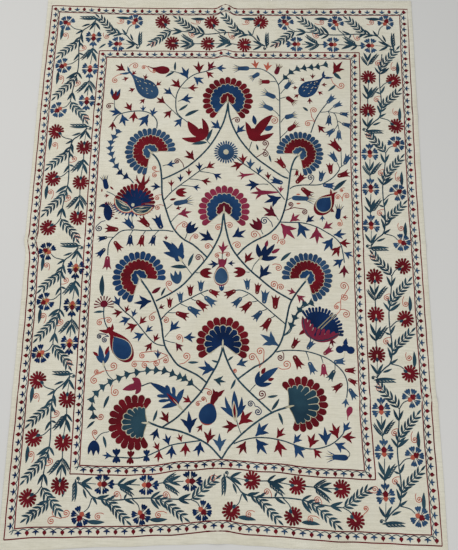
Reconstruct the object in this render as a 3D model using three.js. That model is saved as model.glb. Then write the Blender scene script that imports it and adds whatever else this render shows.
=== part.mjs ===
// Embroidered wall or bed cloth, laid out flat: one loom width of cotton, hemmed along both long sides.
// Millimetres, +Z up. The origin is under the middle of the cloth, on the surface it lies on.
// +Y runs along the length of the cloth.
import * as THREE from "three";
import { mergeVertices } from "three/addons/utils/BufferGeometryUtils.js";

const WIDTH = 1452; // at the widest place
const LENGTH = 2026; // from the top edge to the bottom corners
const CLOTH_THICK = 1.6; // cotton with its stitching
const HEM_THICK = 2.6; // cloth turned over twice
const LEFT_HEM = 11; // width of the turned strips
const RIGHT_HEM = 16;

const HALF_WIDTH = WIDTH / 2;
const HALF_LENGTH = LENGTH / 2;

// How far each long edge stands in from the widest place, from the bottom corner to the top corner.
const LEFT_EDGE = [
  { at: -HALF_LENGTH, inset: 3 },
  { at: -560, inset: 5 },
  { at: -40, inset: 7 },
  { at: 20, inset: 0 },
  { at: 600, inset: 1 },
  { at: HALF_LENGTH, inset: 5 },
];
const RIGHT_EDGE = [
  { at: -HALF_LENGTH, inset: 0 },
  { at: -800, inset: 0 },
  { at: -550, inset: 3 },
  { at: -510, inset: 8 },
  { at: 250, inset: 12 },
  { at: HALF_LENGTH, inset: 9 },
];

// How far the short edges stand in from the full length. The bottom edge bows up in the middle.
const TOP_EDGE = [
  { at: -HALF_WIDTH, inset: 1 },
  { at: -70, inset: 3 },
  { at: -15, inset: 0 },
  { at: 50, inset: 4 },
  { at: HALF_WIDTH, inset: 2 },
];
const BOTTOM_EDGE = [
  { at: -HALF_WIDTH, inset: 0 },
  { at: -345, inset: 20 },
  { at: -150, inset: 29 },
  { at: -5, inset: 35 },
  { at: 100, inset: 30 },
  { at: 240, inset: 23 },
  { at: HALF_WIDTH, inset: 8 },
];

// Creases left by folding: soft ridges that stand up from the surface, one row for each.
const LENGTHWISE_CREASE = {
  at: -15,
  halfWide: 42,
  heights: [
    { at: -HALF_LENGTH, height: 6 },
    { at: -850, height: 3 },
    { at: -300, height: 1.6 },
    { at: 400, height: 1.6 },
    { at: 880, height: 3 },
    { at: HALF_LENGTH, height: 9 },
  ],
};
const CROSSWISE_CREASES = [
  {
    at: 518,
    halfWide: 34,
    heights: [
      { at: -HALF_WIDTH, height: 2.4 },
      { at: -300, height: 1.2 },
      { at: 200, height: 1.8 },
      { at: HALF_WIDTH, height: 2.2 },
    ],
  },
  {
    at: 17,
    halfWide: 36,
    heights: [
      { at: -HALF_WIDTH, height: 5.5 },
      { at: -480, height: 3 },
      { at: 100, height: 1.4 },
      { at: HALF_WIDTH, height: 2.6 },
    ],
  },
  {
    at: -517,
    halfWide: 34,
    heights: [
      { at: -HALF_WIDTH, height: 2.2 },
      { at: -100, height: 1.2 },
      { at: 400, height: 2 },
      { at: HALF_WIDTH, height: 4.5 },
    ],
  },
];

// The grid is even apart from the hems and the creases, which get lines of their own.
const COLUMN_STEP = 112;
const ROW_STEP = 118;
const CREASE_LINES = [-1, -0.55, -0.2, 0.2, 0.55, 1]; // in half widths of the crease

const smooth = (t) => t * t * (3 - 2 * t);

// Reads a table at a place, easing from each row to the next.
function readTable(rows, place, name) {
  if (place <= rows[0].at) return rows[0][name];
  for (let i = 1; i < rows.length; i += 1) {
    const before = rows[i - 1];
    const after = rows[i];
    if (place <= after.at) {
      const share = smooth((place - before.at) / (after.at - before.at));
      return before[name] + (after[name] - before[name]) * share;
    }
  }
  return rows[rows.length - 1][name];
}

function ridge(crease, across, along) {
  const away = Math.abs(across - crease.at) / crease.halfWide;
  if (away >= 1) return 0;
  return readTable(crease.heights, along, "height") * 0.5 * (1 + Math.cos(Math.PI * away));
}

// Height of the underside above the surface. Where two creases cross, the higher one shows.
function lift(x, y) {
  const heights = CROSSWISE_CREASES.map((crease) => ridge(crease, y, x));
  return Math.max(ridge(LENGTHWISE_CREASE, x, y), ...heights);
}

// Places along one direction: even steps, with the special places among them.
function gridLines(half, step, creases, extra) {
  const special = creases.flatMap((crease) => CREASE_LINES.map((part) => crease.at + part * crease.halfWide));
  const fixed = [-half, ...extra, ...special, half].sort((a, b) => a - b);
  const lines = [fixed[0]];
  for (let i = 1; i < fixed.length; i += 1) {
    const gap = fixed[i] - fixed[i - 1];
    const pieces = Math.max(1, Math.round(gap / step));
    for (let k = 1; k <= pieces; k += 1) lines.push(fixed[i - 1] + (gap * k) / pieces);
  }
  return lines;
}

// Moves a place of the even rectangle onto the cloth's own uneven outline.
function fitToOutline(x, y) {
  const left = -HALF_WIDTH + readTable(LEFT_EDGE, y, "inset");
  const right = HALF_WIDTH - readTable(RIGHT_EDGE, y, "inset");
  const bottom = -HALF_LENGTH + readTable(BOTTOM_EDGE, x, "inset");
  const top = HALF_LENGTH - readTable(TOP_EDGE, x, "inset");
  const across = (x + HALF_WIDTH) / WIDTH;
  const along = (y + HALF_LENGTH) / LENGTH;
  return { x: left + (right - left) * across, y: bottom + (top - bottom) * along };
}

// The hem stands thicker than the cloth, and eases down to it over a few millimetres.
const HEM_SLOPE = 3;
const columns = gridLines(HALF_WIDTH, COLUMN_STEP, [LENGTHWISE_CREASE], [
  -HALF_WIDTH + LEFT_HEM,
  -HALF_WIDTH + LEFT_HEM + HEM_SLOPE,
  HALF_WIDTH - RIGHT_HEM - HEM_SLOPE,
  HALF_WIDTH - RIGHT_HEM,
]);
const rows = gridLines(HALF_LENGTH, ROW_STEP, CROSSWISE_CREASES, [-560, -40, 250]);

function thicknessAt(x) {
  const inHem = x <= -HALF_WIDTH + LEFT_HEM || x >= HALF_WIDTH - RIGHT_HEM;
  return inHem ? HEM_THICK : CLOTH_THICK;
}

function makeSheet() {
  const positions = [];
  const wide = columns.length;
  const long = rows.length;
  for (const upper of [false, true]) {
    for (const y of rows) {
      for (const x of columns) {
        const place = fitToOutline(x, y);
        const height = lift(place.x, place.y) + (upper ? thicknessAt(x) : 0);
        positions.push(place.x, place.y, height);
      }
    }
  }
  const point = (upper, row, column) => (upper ? wide * long : 0) + row * wide + column;
  const faces = [];
  const addQuad = (a, b, c, d) => faces.push(a, b, c, a, c, d);
  for (let r = 0; r < long - 1; r += 1) {
    for (let c = 0; c < wide - 1; c += 1) {
      addQuad(point(true, r, c), point(true, r, c + 1), point(true, r + 1, c + 1), point(true, r + 1, c));
      addQuad(point(false, r, c), point(false, r + 1, c), point(false, r + 1, c + 1), point(false, r, c + 1));
    }
  }
  // The cut edge: the grid's rim, anticlockwise as seen from above.
  const rim = [];
  for (let c = 0; c < wide - 1; c += 1) rim.push([0, c]);
  for (let r = 0; r < long - 1; r += 1) rim.push([r, wide - 1]);
  for (let c = wide - 1; c > 0; c -= 1) rim.push([long - 1, c]);
  for (let r = long - 1; r > 0; r -= 1) rim.push([r, 0]);
  rim.forEach(([r, c], i) => {
    const [nextR, nextC] = rim[(i + 1) % rim.length];
    addQuad(point(false, r, c), point(false, nextR, nextC), point(true, nextR, nextC), point(true, r, c));
  });
  const geometry = new THREE.BufferGeometry();
  geometry.setAttribute("position", new THREE.Float32BufferAttribute(positions, 3));
  geometry.setIndex(faces);
  return mergeVertices(geometry);
}

const cloth = new THREE.Mesh(
  makeSheet(),
  new THREE.MeshStandardMaterial({ color: 0xcdc8b4, roughness: 0.9, metalness: 0 }),
);
cloth.name = "cloth";

const group = new THREE.Group();
group.name = "embroidered_cloth";
group.add(cloth);

export default group;
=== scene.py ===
import math
import random

import bpy
import mathutils
import numpy as np
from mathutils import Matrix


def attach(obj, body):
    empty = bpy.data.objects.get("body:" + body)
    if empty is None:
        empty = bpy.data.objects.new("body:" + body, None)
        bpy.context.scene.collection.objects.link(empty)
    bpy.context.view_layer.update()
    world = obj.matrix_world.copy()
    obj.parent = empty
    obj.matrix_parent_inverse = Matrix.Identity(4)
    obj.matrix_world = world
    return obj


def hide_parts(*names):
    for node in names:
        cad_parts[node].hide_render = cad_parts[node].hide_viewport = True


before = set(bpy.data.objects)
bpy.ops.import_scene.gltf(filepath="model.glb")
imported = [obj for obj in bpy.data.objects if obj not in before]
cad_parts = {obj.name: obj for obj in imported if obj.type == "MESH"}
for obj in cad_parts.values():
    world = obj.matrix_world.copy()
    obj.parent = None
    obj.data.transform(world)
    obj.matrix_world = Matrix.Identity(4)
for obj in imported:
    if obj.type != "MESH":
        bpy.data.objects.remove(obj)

# An embroidered cloth lying flat. Layout sizes are millimetres in the frame of the part, with the
# origin under the middle of the cloth, +X to the right and +Y to the top. MM turns them into metres.
MM = 0.001
chance = random.Random(11)
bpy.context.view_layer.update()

# The camera: hand-held over the lower half of the cloth, looking down.
PICTURE_HIGH = 550  # in pixels, as the focal length is
FOCAL_PIXELS = 458
SENSOR_MM = 36
CAMERA_PLACE = (0.0212, -0.3780, 1.6037)
CAMERA_TURN = (9.882, 0.227, 0.756)

# The cloth's outline and creases, as in the solid.
WIDTH = 1452
LENGTH = 2026
HALF_WIDTH = WIDTH / 2
HALF_LENGTH = LENGTH / 2
CLOTH_THICK = 1.6
HEM_THICK = 2.6
LEFT_HEM = 11
RIGHT_HEM = 16

# Rows: place along the edge, and how far the edge stands in there.
LEFT_EDGE = [(-HALF_LENGTH, 3), (-560, 5), (-40, 7), (20, 0), (600, 1), (HALF_LENGTH, 5)]
RIGHT_EDGE = [(-HALF_LENGTH, 0), (-800, 0), (-550, 3), (-510, 8), (250, 12), (HALF_LENGTH, 9)]
TOP_EDGE = [(-HALF_WIDTH, 1), (-70, 3), (-15, 0), (50, 4), (HALF_WIDTH, 2)]
BOTTOM_EDGE = [(-HALF_WIDTH, 0), (-345, 20), (-150, 29), (-5, 35), (100, 30), (240, 23), (HALF_WIDTH, 8)]

# Creases: where each runs, its half width, and rows of place along it and height there.
LENGTHWISE_CREASE = (
    -15,
    42,
    [(-HALF_LENGTH, 6), (-850, 3), (-300, 1.6), (400, 1.6), (880, 3), (HALF_LENGTH, 9)],
)
CROSSWISE_CREASES = [
    (518, 34, [(-HALF_WIDTH, 2.4), (-300, 1.2), (200, 1.8), (HALF_WIDTH, 2.2)]),
    (17, 36, [(-HALF_WIDTH, 5.5), (-480, 3), (100, 1.4), (HALF_WIDTH, 2.6)]),
    (-517, 34, [(-HALF_WIDTH, 2.2), (-100, 1.2), (400, 2), (HALF_WIDTH, 4.5)]),
]


def eased(rows, place):
    """Reads rows of (place, value), easing from each row to the next."""
    at = np.array([row[0] for row in rows], float)
    value = np.array([row[1] for row in rows], float)
    place = np.clip(place, at[0], at[-1])
    i = np.clip(np.searchsorted(at, place, side="right") - 1, 0, len(at) - 2)
    share = (place - at[i]) / (at[i + 1] - at[i])
    share = share * share * (3 - 2 * share)
    return value[i] + (value[i + 1] - value[i]) * share


def ridge(crease, across, along):
    at, half_wide, heights = crease
    away = np.minimum(np.abs(across - at) / half_wide, 1)
    return eased(heights, along) * 0.5 * (1 + np.cos(math.pi * away))


def lift(x, y):
    """Height of the cloth's underside over the floor."""
    height = ridge(LENGTHWISE_CREASE, x, y)
    for crease in CROSSWISE_CREASES:
        height = np.maximum(height, ridge(crease, y, x))
    return height


PUCKER = 0.14  # half of how high the puckers stand on average


def unevenness(x, y):
    """Soft puckers that stitching draws into a cloth, from a few crossing waves."""
    waves = (
        np.sin(x / 23 + 1.3 * np.sin(y / 61))
        + np.sin(y / 29 + 1.7 * np.sin(x / 47 + 2))
        + np.sin((x + y) / 37 + 4)
        + np.sin((x - 0.6 * y) / 53 + 1)
    )
    return PUCKER * (waves + 4) / 2


def surface(x, y):
    """Height of the cloth's upper face over the floor."""
    return lift(x, y) + CLOTH_THICK + unevenness(x, y)


def material(name):
    mat = bpy.data.materials.new(name)
    mat.use_nodes = True
    tree = mat.node_tree
    return mat, tree, tree.nodes["Principled BSDF"]


def fill(tree, socket, value):
    """Gives an input its number or colour, or links it to a node's output."""
    if isinstance(value, bpy.types.NodeSocket):
        tree.links.new(value, socket)
    else:
        socket.default_value = value


def node(tree, kind, inputs, **settings):
    """Adds a node; inputs gives what goes into its sockets, by name or number."""
    made = tree.nodes.new(kind)
    for key, value in settings.items():
        setattr(made, key, value)
    for socket, value in inputs.items():
        fill(tree, made.inputs[socket], value)
    return made


def srgb(red, green, blue):
    """A colour as seen, 0 to 255, as the linear colour that a shader takes."""
    def linear(part):
        part /= 255
        return part / 12.92 if part <= 0.04045 else ((part + 0.055) / 1.055) ** 2.4
    return (linear(red), linear(green), linear(blue), 1)


def noise(tree, place, scale, detail=2.0, stretch=(1, 1, 1), rough=0.5):
    mapped = node(tree, "ShaderNodeMapping", {"Vector": place, "Scale": stretch}).outputs["Vector"]
    inputs = {"Vector": mapped, "Scale": scale, "Detail": detail, "Roughness": rough}
    return node(tree, "ShaderNodeTexNoise", inputs).outputs["Fac"]


def ramp(tree, value, low, high):
    inputs = {"Value": value, "From Min": low, "From Max": high}
    return node(tree, "ShaderNodeMapRange", inputs).outputs["Result"]


def maths(tree, operation, first, second=0):
    return node(tree, "ShaderNodeMath", {0: first, 1: second}, operation=operation).outputs[0]


def times(tree, first, second):
    return maths(tree, "MULTIPLY", first, second)


def wave(tree, place, length):
    """A sine that runs once through its wave over a length."""
    return maths(tree, "SINE", times(tree, place, 2 * math.pi / length))


def blend(tree, share, first, second):
    return node(tree, "ShaderNodeMix", {0: share, 6: first, 7: second}, data_type="RGBA").outputs[2]


def fill_shader(tree, shader, colour, relief, depth, strength, worn, smooth, rough):
    """Gives a shader its colour, a bump, and a roughness between two values that follows the wear."""
    bump = node(tree, "ShaderNodeBump", {"Height": relief, "Distance": depth, "Strength": strength})
    roughness = node(tree, "ShaderNodeMapRange", {"Value": worn, "To Min": smooth, "To Max": rough})
    fill(tree, shader.inputs["Base Color"], colour)
    fill(tree, shader.inputs["Normal"], bump.outputs["Normal"])
    fill(tree, shader.inputs["Roughness"], roughness.outputs["Result"])


# Distances between the cotton's threads. Materials work in metres.
WEFT_PITCH = 0.0011
WARP_PITCH = 0.0009


def cloth_material():
    """Cream cotton woven from uneven yarn: slubs lie across, thin ones run lengthwise."""
    mat, tree, shader = material("cream_cotton")
    place = node(tree, "ShaderNodeTexCoord", {}).outputs["Object"]
    slubs = ramp(tree, noise(tree, place, 1, 3, (9, 420, 1), 0.6), 0.35, 0.75)
    long_slubs = ramp(tree, noise(tree, place, 1, 2, (380, 12, 1)), 0.35, 0.75)
    cloudy = ramp(tree, noise(tree, place, 5, 3), 0.3, 0.7)
    soft = ramp(tree, noise(tree, place, 17), 0.35, 0.7)
    streaks = ramp(tree, noise(tree, place, 1, 4, (22, 150, 1), 0.65), 0.46, 0.72)
    # Each pattern over the ground, how strongly it shows, and its colour.
    layers = [
        (streaks, 0.5, srgb(182, 175, 156)),
        (slubs, 0.5, srgb(184, 176, 153)),
        (long_slubs, 0.2, srgb(190, 182, 160)),
        (soft, 0.18, srgb(224, 220, 208)),
    ]
    colour = blend(tree, cloudy, srgb(212, 204, 182), srgb(223, 216, 197))
    for pattern, share, tone in layers:
        colour = blend(tree, times(tree, pattern, share), colour, tone)
    parts = node(tree, "ShaderNodeSeparateXYZ", {"Vector": place}).outputs
    weave = times(tree, wave(tree, parts["Y"], WEFT_PITCH), wave(tree, parts["X"], WARP_PITCH))
    relief = maths(tree, "ADD", times(tree, slubs, 1.2), times(tree, weave, 0.35))
    fill_shader(tree, shader, colour, relief, 0.0005, 0.6, slubs, 0.82, 0.96)
    shader.inputs["Sheen Weight"].default_value = 0.08
    shader.inputs["Specular IOR Level"].default_value = 0.2
    return mat


STITCH_ROW = 1.3  # width of one row of stitches
STITCH_LONG = 3.2  # length of one stitch


def thread_material(name, light, dark):
    """Silk thread: rows of small stitches along each shape, dye that varies from skein to skein, and painted
    shade in the hollows between the rows.
    """
    mat, tree, shader = material(name)
    place = node(tree, "ShaderNodeTexCoord", {}).outputs["Object"]
    stitch = node(tree, "ShaderNodeUVMap", {}, uv_map="stitch").outputs["UV"]
    parts = node(tree, "ShaderNodeSeparateXYZ", {"Vector": stitch}).outputs
    rows = wave(tree, parts["X"], STITCH_ROW)
    # Each row's stitches are shifted against those of the row beside it.
    shift = times(tree, maths(tree, "FLOOR", maths(tree, "DIVIDE", parts["X"], STITCH_ROW)), 1.7)
    links = maths(tree, "SINE", maths(tree, "ADD", times(tree, parts["Y"], 2 * math.pi / STITCH_LONG), shift))
    skein = ramp(tree, noise(tree, place, 11), 0.38, 0.62)
    worn = ramp(tree, noise(tree, place, 260, 3, rough=0.7), 0.35, 0.8)
    colour = blend(tree, skein, light, dark)
    colour = blend(tree, times(tree, worn, 0.35), colour, dark)
    # Painted shade: the colour darkens toward a deep shade of the thread in the hollows between the rows of
    # stitches, where the bump dips.
    painted_groove_shade = times(tree, maths(tree, "SUBTRACT", 1, rows), 0.12)
    colour = blend(tree, painted_groove_shade, colour, tuple(part * 0.35 for part in dark[:3]) + (1,))
    relief = maths(tree, "ADD", rows, times(tree, links, 0.6))
    fill_shader(tree, shader, colour, relief, 0.00025, 0.7, worn, 0.6, 0.85)
    shader.inputs["Sheen Weight"].default_value = 0.015
    shader.inputs["Specular IOR Level"].default_value = 0.1
    return mat


# Each thread colour: its material slot, how it looks in light, and in its darker skeins.
THREADS = {
    "red": ("red_thread", srgb(116, 12, 26), srgb(90, 6, 18)),
    "maroon": ("red_thread", srgb(104, 14, 36), srgb(80, 8, 26)),
    "pink": ("red_thread", srgb(142, 44, 70), srgb(118, 32, 54)),
    "coral": ("coral_thread", srgb(188, 96, 74), srgb(162, 72, 56)),
    "blue": ("blue_thread", srgb(32, 66, 104), srgb(14, 46, 84)),
    "slate": ("blue_thread", srgb(52, 82, 112), srgb(34, 62, 92)),
    "navy": ("blue_thread", srgb(8, 42, 86), srgb(2, 28, 64)),
    "teal": ("teal_thread", srgb(44, 74, 86), srgb(26, 52, 66)),
    "cream": ("ground_cloth", srgb(206, 198, 172), srgb(188, 178, 148)),
    "olive": ("ground_cloth", srgb(158, 148, 118), srgb(134, 124, 94)),
    "ochre": ("coral_thread", srgb(190, 150, 84), srgb(170, 126, 62)),
}


SUNK = 0.25  # how far a ribbon's edges reach into the cloth
FULLER = 1.04  # the thread swells a shape by this share, and by this much on each side
PLUMP = 0.22
FULL_HEIGHT_FROM = 1.2  # half width from which on a ribbon stands at its full height
SKEIN_LONG = 50  # a ribbon's stitches start anywhere along this length


def run_along(line):
    """How far along a line each of its points lies."""
    return np.concatenate([[0], np.cumsum(np.hypot(*np.diff(line, axis=0).T))])


class Stitching:
    """The stitches of one thread colour, gathered as ribbons and made into one mesh."""

    def __init__(self, colour):
        self.colour = colour
        self.points, self.faces, self.maps = [], [], []
        self.count = 0

    def ribbon(self, line, half_widths, height, rise, columns):
        """Adds a rounded ribbon along a line, height tall and lifted off the cloth by rise."""
        half_widths = half_widths * FULLER + PLUMP
        step = np.gradient(line, axis=0)
        step /= np.maximum(np.hypot(step[:, 0], step[:, 1]), 1e-9)[:, None]
        left = np.stack([-step[:, 1], step[:, 0]], 1)
        spread = np.linspace(-1, 1, columns)
        crown = np.sqrt(1 - spread**2)
        reach = half_widths[:, None] * spread[None, :]
        x = line[:, :1] + left[:, :1] * reach
        y = line[:, 1:] + left[:, 1:] * reach
        tall = height * np.minimum(1, half_widths / FULL_HEIGHT_FROM)
        z = surface(x, y) + rise + tall[:, None] * crown[None, :] - SUNK * (1 - crown[None, :])
        run = run_along(line) + chance.uniform(0, SKEIN_LONG)
        self.points.append(np.stack([x, y, z], 2).reshape(-1, 3))
        self.maps.append(np.stack([reach, np.repeat(run[:, None], columns, 1)], 2).reshape(-1, 2))
        corner = self.count + np.arange(len(line) * columns).reshape(len(line), columns)
        quads = np.stack([corner[:-1, :-1], corner[1:, :-1], corner[1:, 1:], corner[:-1, 1:]], 2)
        self.faces.append(quads.reshape(-1, 4)[:, ::-1])
        self.count += len(line) * columns


stitching = {colour: Stitching(colour) for colour in THREADS}


def smooth_line(points, spacing):
    """A smooth line through given points, at even steps."""
    points = np.array(points, float)
    padded = np.vstack([2 * points[0] - points[1], points, 2 * points[-1] - points[-2]])
    t = np.linspace(0, 1, 9)[:-1, None]
    parts = []
    for a, b, c, d in zip(padded[:-3], padded[1:-2], padded[2:-1], padded[3:]):
        curve = 2 * b + (c - a) * t + (2 * a - 5 * b + 4 * c - d) * t**2 + (3 * b - a - 3 * c + d) * t**3
        parts.append(0.5 * curve)
    return even(np.vstack(parts + [points[-1:]]), spacing)


def even(dense, spacing):
    """The same line with its points at even steps."""
    run = run_along(dense)
    count = max(3, int(round(run[-1] / spacing)) + 1)
    at = np.linspace(0, run[-1], count)
    return np.stack([np.interp(at, run, dense[:, 0]), np.interp(at, run, dense[:, 1])], 1)


def turned(points, angle):
    points = np.asarray(points, float)
    x, y = points[..., 0], points[..., 1]
    cosine, sine = math.cos(angle), math.sin(angle)
    return np.stack([x * cosine - y * sine, x * sine + y * cosine], -1)


def polar(distance, degrees):
    """The place that lies a distance away at an angle."""
    return (distance * math.cos(math.radians(degrees)), distance * math.sin(math.radians(degrees)))


def facing(step):
    """The way a step points, in degrees."""
    return math.degrees(math.atan2(step[1], step[0]))


class Spot:
    """A place on the cloth that faces a way: motifs are drawn forward and left of it."""

    def __init__(self, x, y, aim):
        self.place = np.array([x, y], float)
        self.angle = math.radians(aim)

    def put(self, points):
        return turned(points, self.angle) + self.place

    def ahead(self, forward):
        return Spot(*self.put((forward, 0)), math.degrees(self.angle))


# Shapes: the width at each share t of the length, with 1 as the full width.
def round_foot(t, share):
    """Opens like a quarter circle over the first share of a shape."""
    return np.sqrt(np.maximum(1 - (1 - np.clip(t / share, 0, 1)) ** 2, 0))


def round_tip(t, start, share):
    """Closes like a quarter circle from a start on, over a share of the shape."""
    return np.sqrt(np.maximum(1 - np.clip((t - start) / share, 0, 1) ** 2, 0))


def leaf_shape(t):
    return np.sin(math.pi * t**0.85) ** 0.8


def lobe_shape(t):
    """Narrow where it starts, widest far out, with a round end."""
    return (0.4 + 0.6 * np.clip(t / 0.6, 0, 1) ** 1.5) * round_tip(t, 0.7, 0.3)


def comb_shape(t):
    """Narrow where it starts and even further out, with a blunt end."""
    return (0.35 + 0.65 * np.clip(t / 0.85, 0, 1) ** 1.2) * round_tip(t, 0.86, 0.14)


def horn_shape(t):
    """Broad near its start and drawn out to a sharp tip."""
    return np.clip(0.45 + 2.2 * t, 0, 1) * (1 - t) ** 0.75


def funnel_shape(t):
    """Widens evenly from a narrow foot to a blunt end."""
    return (0.22 + 0.78 * np.clip(t / 0.86, 0, 1)) * round_tip(t, 0.84, 0.16)


def bell_shape(t):
    """Round at its foot, then widens a little to a blunt end."""
    return round_foot(t, 0.18) * (0.62 + 0.38 * t) * round_tip(t, 0.88, 0.13)


def spear_shape(t):
    """Widens from a narrow foot, then runs out to a point."""
    widest = 0.42
    foot = 0.35 + 0.65 * (t / widest) ** 1.2
    point = np.maximum(1 - (t - widest) / (1 - widest), 0) ** 0.85
    return np.where(t < widest, foot, point)


def dome_shape(t):
    """A cup: round at its foot, nearly even along its sides, and cut off short."""
    return round_foot(t, 0.3) * (0.9 + 0.1 * np.cos(2.6 * t)) * round_tip(t, 0.9, 0.12)


def boteh_shape(t):
    """Round and full at its foot, then drawn out into a long thin neck."""
    neck = 0.1 + 0.9 * (0.5 + 0.5 * np.cos(math.pi * np.clip((t - 0.32) / 0.56, 0, 1)))
    return round_foot(t, 0.32) * neck


def pear_shape(t):
    """Round at its foot and pointed at its end."""
    return round_foot(t, 0.42) * np.cos(math.pi / 2 * np.clip((t - 0.42) / 0.58, 0, 1)) ** 1.15


def round_shape(t):
    return np.sqrt(np.maximum(1 - (2 * t - 1) ** 2, 0))


def egg_shape(t):
    """Fuller near its foot than near its end."""
    return round_shape(t) * (1.12 - 0.36 * t)


SHAPES = {
    "leaf": leaf_shape, "lobe": lobe_shape, "spear": spear_shape, "dome": dome_shape,
    "boteh": boteh_shape, "pear": pear_shape, "egg": egg_shape,
}
# Shapes whose cross sections lie closer together toward both ends: much closer, and a little.
ROUND_ENDS = (boteh_shape, pear_shape, round_shape, egg_shape)
SOFT_ENDS = (dome_shape, bell_shape, leaf_shape, spear_shape)
SECTION_STEP = 4.5  # about how far apart a shape's cross sections are
SHARP = 0.25  # half width of a shape where it comes to a point


def tongue(colour, spot, aim, length, width, shape, curl=0.0, height=0.8, rise=0.0, start=(0, 0), fine=1.0):
    """One stitched shape: it leaves the spot at an angle and may curl as it goes.

    Start is where its foot lies, forward and left of the spot. Where fine is more than 1, its cross
    sections lie closer together.
    """
    count = max(5, int(round(length / (SECTION_STEP / fine))) + 1)
    t = np.linspace(0, 1, count)
    if shape in ROUND_ENDS:
        t = 0.5 - 0.5 * np.cos(math.pi * np.linspace(0, 1, count + 4))
    elif shape in SOFT_ENDS:
        t = (t + 0.5 - 0.5 * np.cos(math.pi * t)) / 2
    elif shape is not horn_shape:
        t = 1 - (1 - t) ** 1.35
    heading = math.radians(aim) + math.radians(curl) * t
    middle = (heading[1:] + heading[:-1]) / 2
    step = np.diff(t) * length
    forward = np.concatenate([[0], np.cumsum(step * np.cos(middle))])
    left = np.concatenate([[0], np.cumsum(step * np.sin(middle))])
    line = np.stack([forward, left], 1) + np.array(start, float)
    half = np.maximum(shape(t) * width / 2, SHARP)
    stitching[colour].ribbon(spot.put(line), half, height, rise, 5 if width > 5 else 3)


def stem(points, wide, colour="teal", taper=0.75, height=0.7, rise=0.0):
    """A stem through given points, a little thinner at its end."""
    line = smooth_line(points, 7 if wide > 2.5 else 5)
    t = np.linspace(0, 1, len(line))
    swell = 1 + 0.08 * np.sin(np.arange(len(line)) * 1.9 + chance.uniform(0, 6))
    half = wide / 2 * (1 + (taper - 1) * t) * swell
    stitching[colour].ribbon(line, half, height, rise, 3 if wide < 4 else 5)


def tips(colour, spot, ways, lean, long, wide, shape, curl, height, foot, apart, fine=1.0):
    """Tips of a flower that lean and curl to the sides given by ways, from feet that stand apart."""
    for way in ways:
        place = (foot, way * apart)
        tongue(colour, spot, way * lean, long, wide, shape, way * curl, height, start=place, fine=fine)


def star(spot, length, colour):
    """A small flower that widens from its stalk and parts into three tips, the outer two curling outward."""
    lean = 4 if chance.random() < 0.5 else -4
    tongue(colour, spot, 0, length * 0.52, length * 0.37, funnel_shape, 0, 0.9)
    foot = (length * 0.24, 0)
    tongue(colour, spot, lean, length * 0.76, length * 0.27, spear_shape, -2 * lean, 0.85, start=foot)
    for way in (-1, 1):
        tongue(
            colour, spot, way * 8, length * chance.uniform(0.6, 0.68), length * 0.26, spear_shape,
            way * 58, 0.85, start=(length * 0.17, way * length * 0.05),
        )


def arrowhead(spot, length, colour):
    """A bud of a chain: it widens quickly and ends in two points, with a hollow between them."""
    tongue(colour, spot, 0, length * 0.8, length * 0.62, funnel_shape, 0, 0.8, fine=1.3)
    foot, apart = length * 0.22, length * 0.06
    tips(colour, spot, (-1, 1), 16, length * 0.72, length * 0.34, spear_shape, 58, 0.8, foot, apart, 1.3)


def bell(spot, length, colour):
    """A long flower, round where it hangs, whose mouth ends in small points."""
    tongue(colour, spot, 0, length * 0.8, length * 0.5, bell_shape, 0, 0.95)
    tongue("cream", spot, 0, length * 0.14, 3.2, leaf_shape, 0, 0.4, 1.0, (length * 0.1, 0))
    foot, apart = length * 0.56, length * 0.115
    for way, long in ((-1, 0.42), (0, 0.46), (1, 0.42)):
        tips(colour, spot, (way,), 12, length * long, length * 0.22, horn_shape, 32, 0.9, foot, apart)


def trumpet(spot, length, colour):
    """A thin tube that opens into three curling tips."""
    tongue(colour, spot, 0, length * 0.74, length * 0.2, funnel_shape, 0, 0.9)
    foot, apart = length * 0.54, length * 0.03
    for way, long in ((-1, 0.36), (0, 0.46), (1, 0.36)):
        tips(colour, spot, (way,), 12, length * long, length * 0.12, spear_shape, 56, 0.85, foot, apart)


def tulip(spot, length, colour):
    """A closed flower with three points."""
    tongue(colour, spot, 0, length * 0.7, length * 0.46, dome_shape, 0, 0.95)
    tongue(colour, spot, 0, length * 0.98, length * 0.34, leaf_shape, 0, 1.0, fine=1.2)
    apart = length * 0.03
    tips(colour, spot, (-1, 1), 34, length * 0.96, length * 0.3, leaf_shape, -30, 0.9, 0, apart, 1.2)


def thistle(spot, length, colour):
    """A narrow flower with a brush of thin tips."""
    wide = min(length * 0.4, 21)
    tongue(colour, spot, 0, length * 0.68, wide, dome_shape, 0, 1.0)
    for k in range(5):
        way = (k - 2) / 2
        tip = "olive" if k % 2 else colour
        tongue(
            tip, spot, way * 12, length * (0.44 - 0.05 * abs(way)), 4.4, spear_shape, way * 26, 0.75,
            start=(length * 0.56, way * wide * 0.34),
        )


def ragged(spot, length, colour):
    """A small flower with ragged tips to both sides of its stem."""
    for aim in (55, 90, 125, 235, 270, 305):
        tongue(colour, spot, aim, length * 0.5, length * 0.22, lobe_shape, (aim % 180 - 90) * -0.5, 0.9)


def leaf(spot, length, colour):
    curl = chance.choice((-1, 1)) * 14
    tongue(colour, spot, -curl / 2, length, max(8, length * 0.26), leaf_shape, curl, 0.8)


def broad_leaf(spot, length, colour):
    tongue(colour, spot, -8, length, length * 0.42, leaf_shape, 16, 0.8)


def drop(spot, length, colour):
    """Round where it starts, tapering to a tip that curls."""
    tongue(colour, spot, 0, length, length * 0.48, boteh_shape, 34, 1.0, fine=1.2)


KINDS = {
    "star": star, "bell": bell, "tulip": tulip, "thistle": thistle, "trumpet": trumpet,
    "ragged": ragged, "leaf": leaf, "broad": broad_leaf, "drop": drop,
}


def read(rows):
    """The rows of a table, each as a list of its words and numbers.

    A line that starts with a space goes on with the row before it.
    """
    for row in rows.strip().replace("\n ", " ").splitlines():
        yield [word if word.isalpha() else float(word) for word in row.split()]


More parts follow.
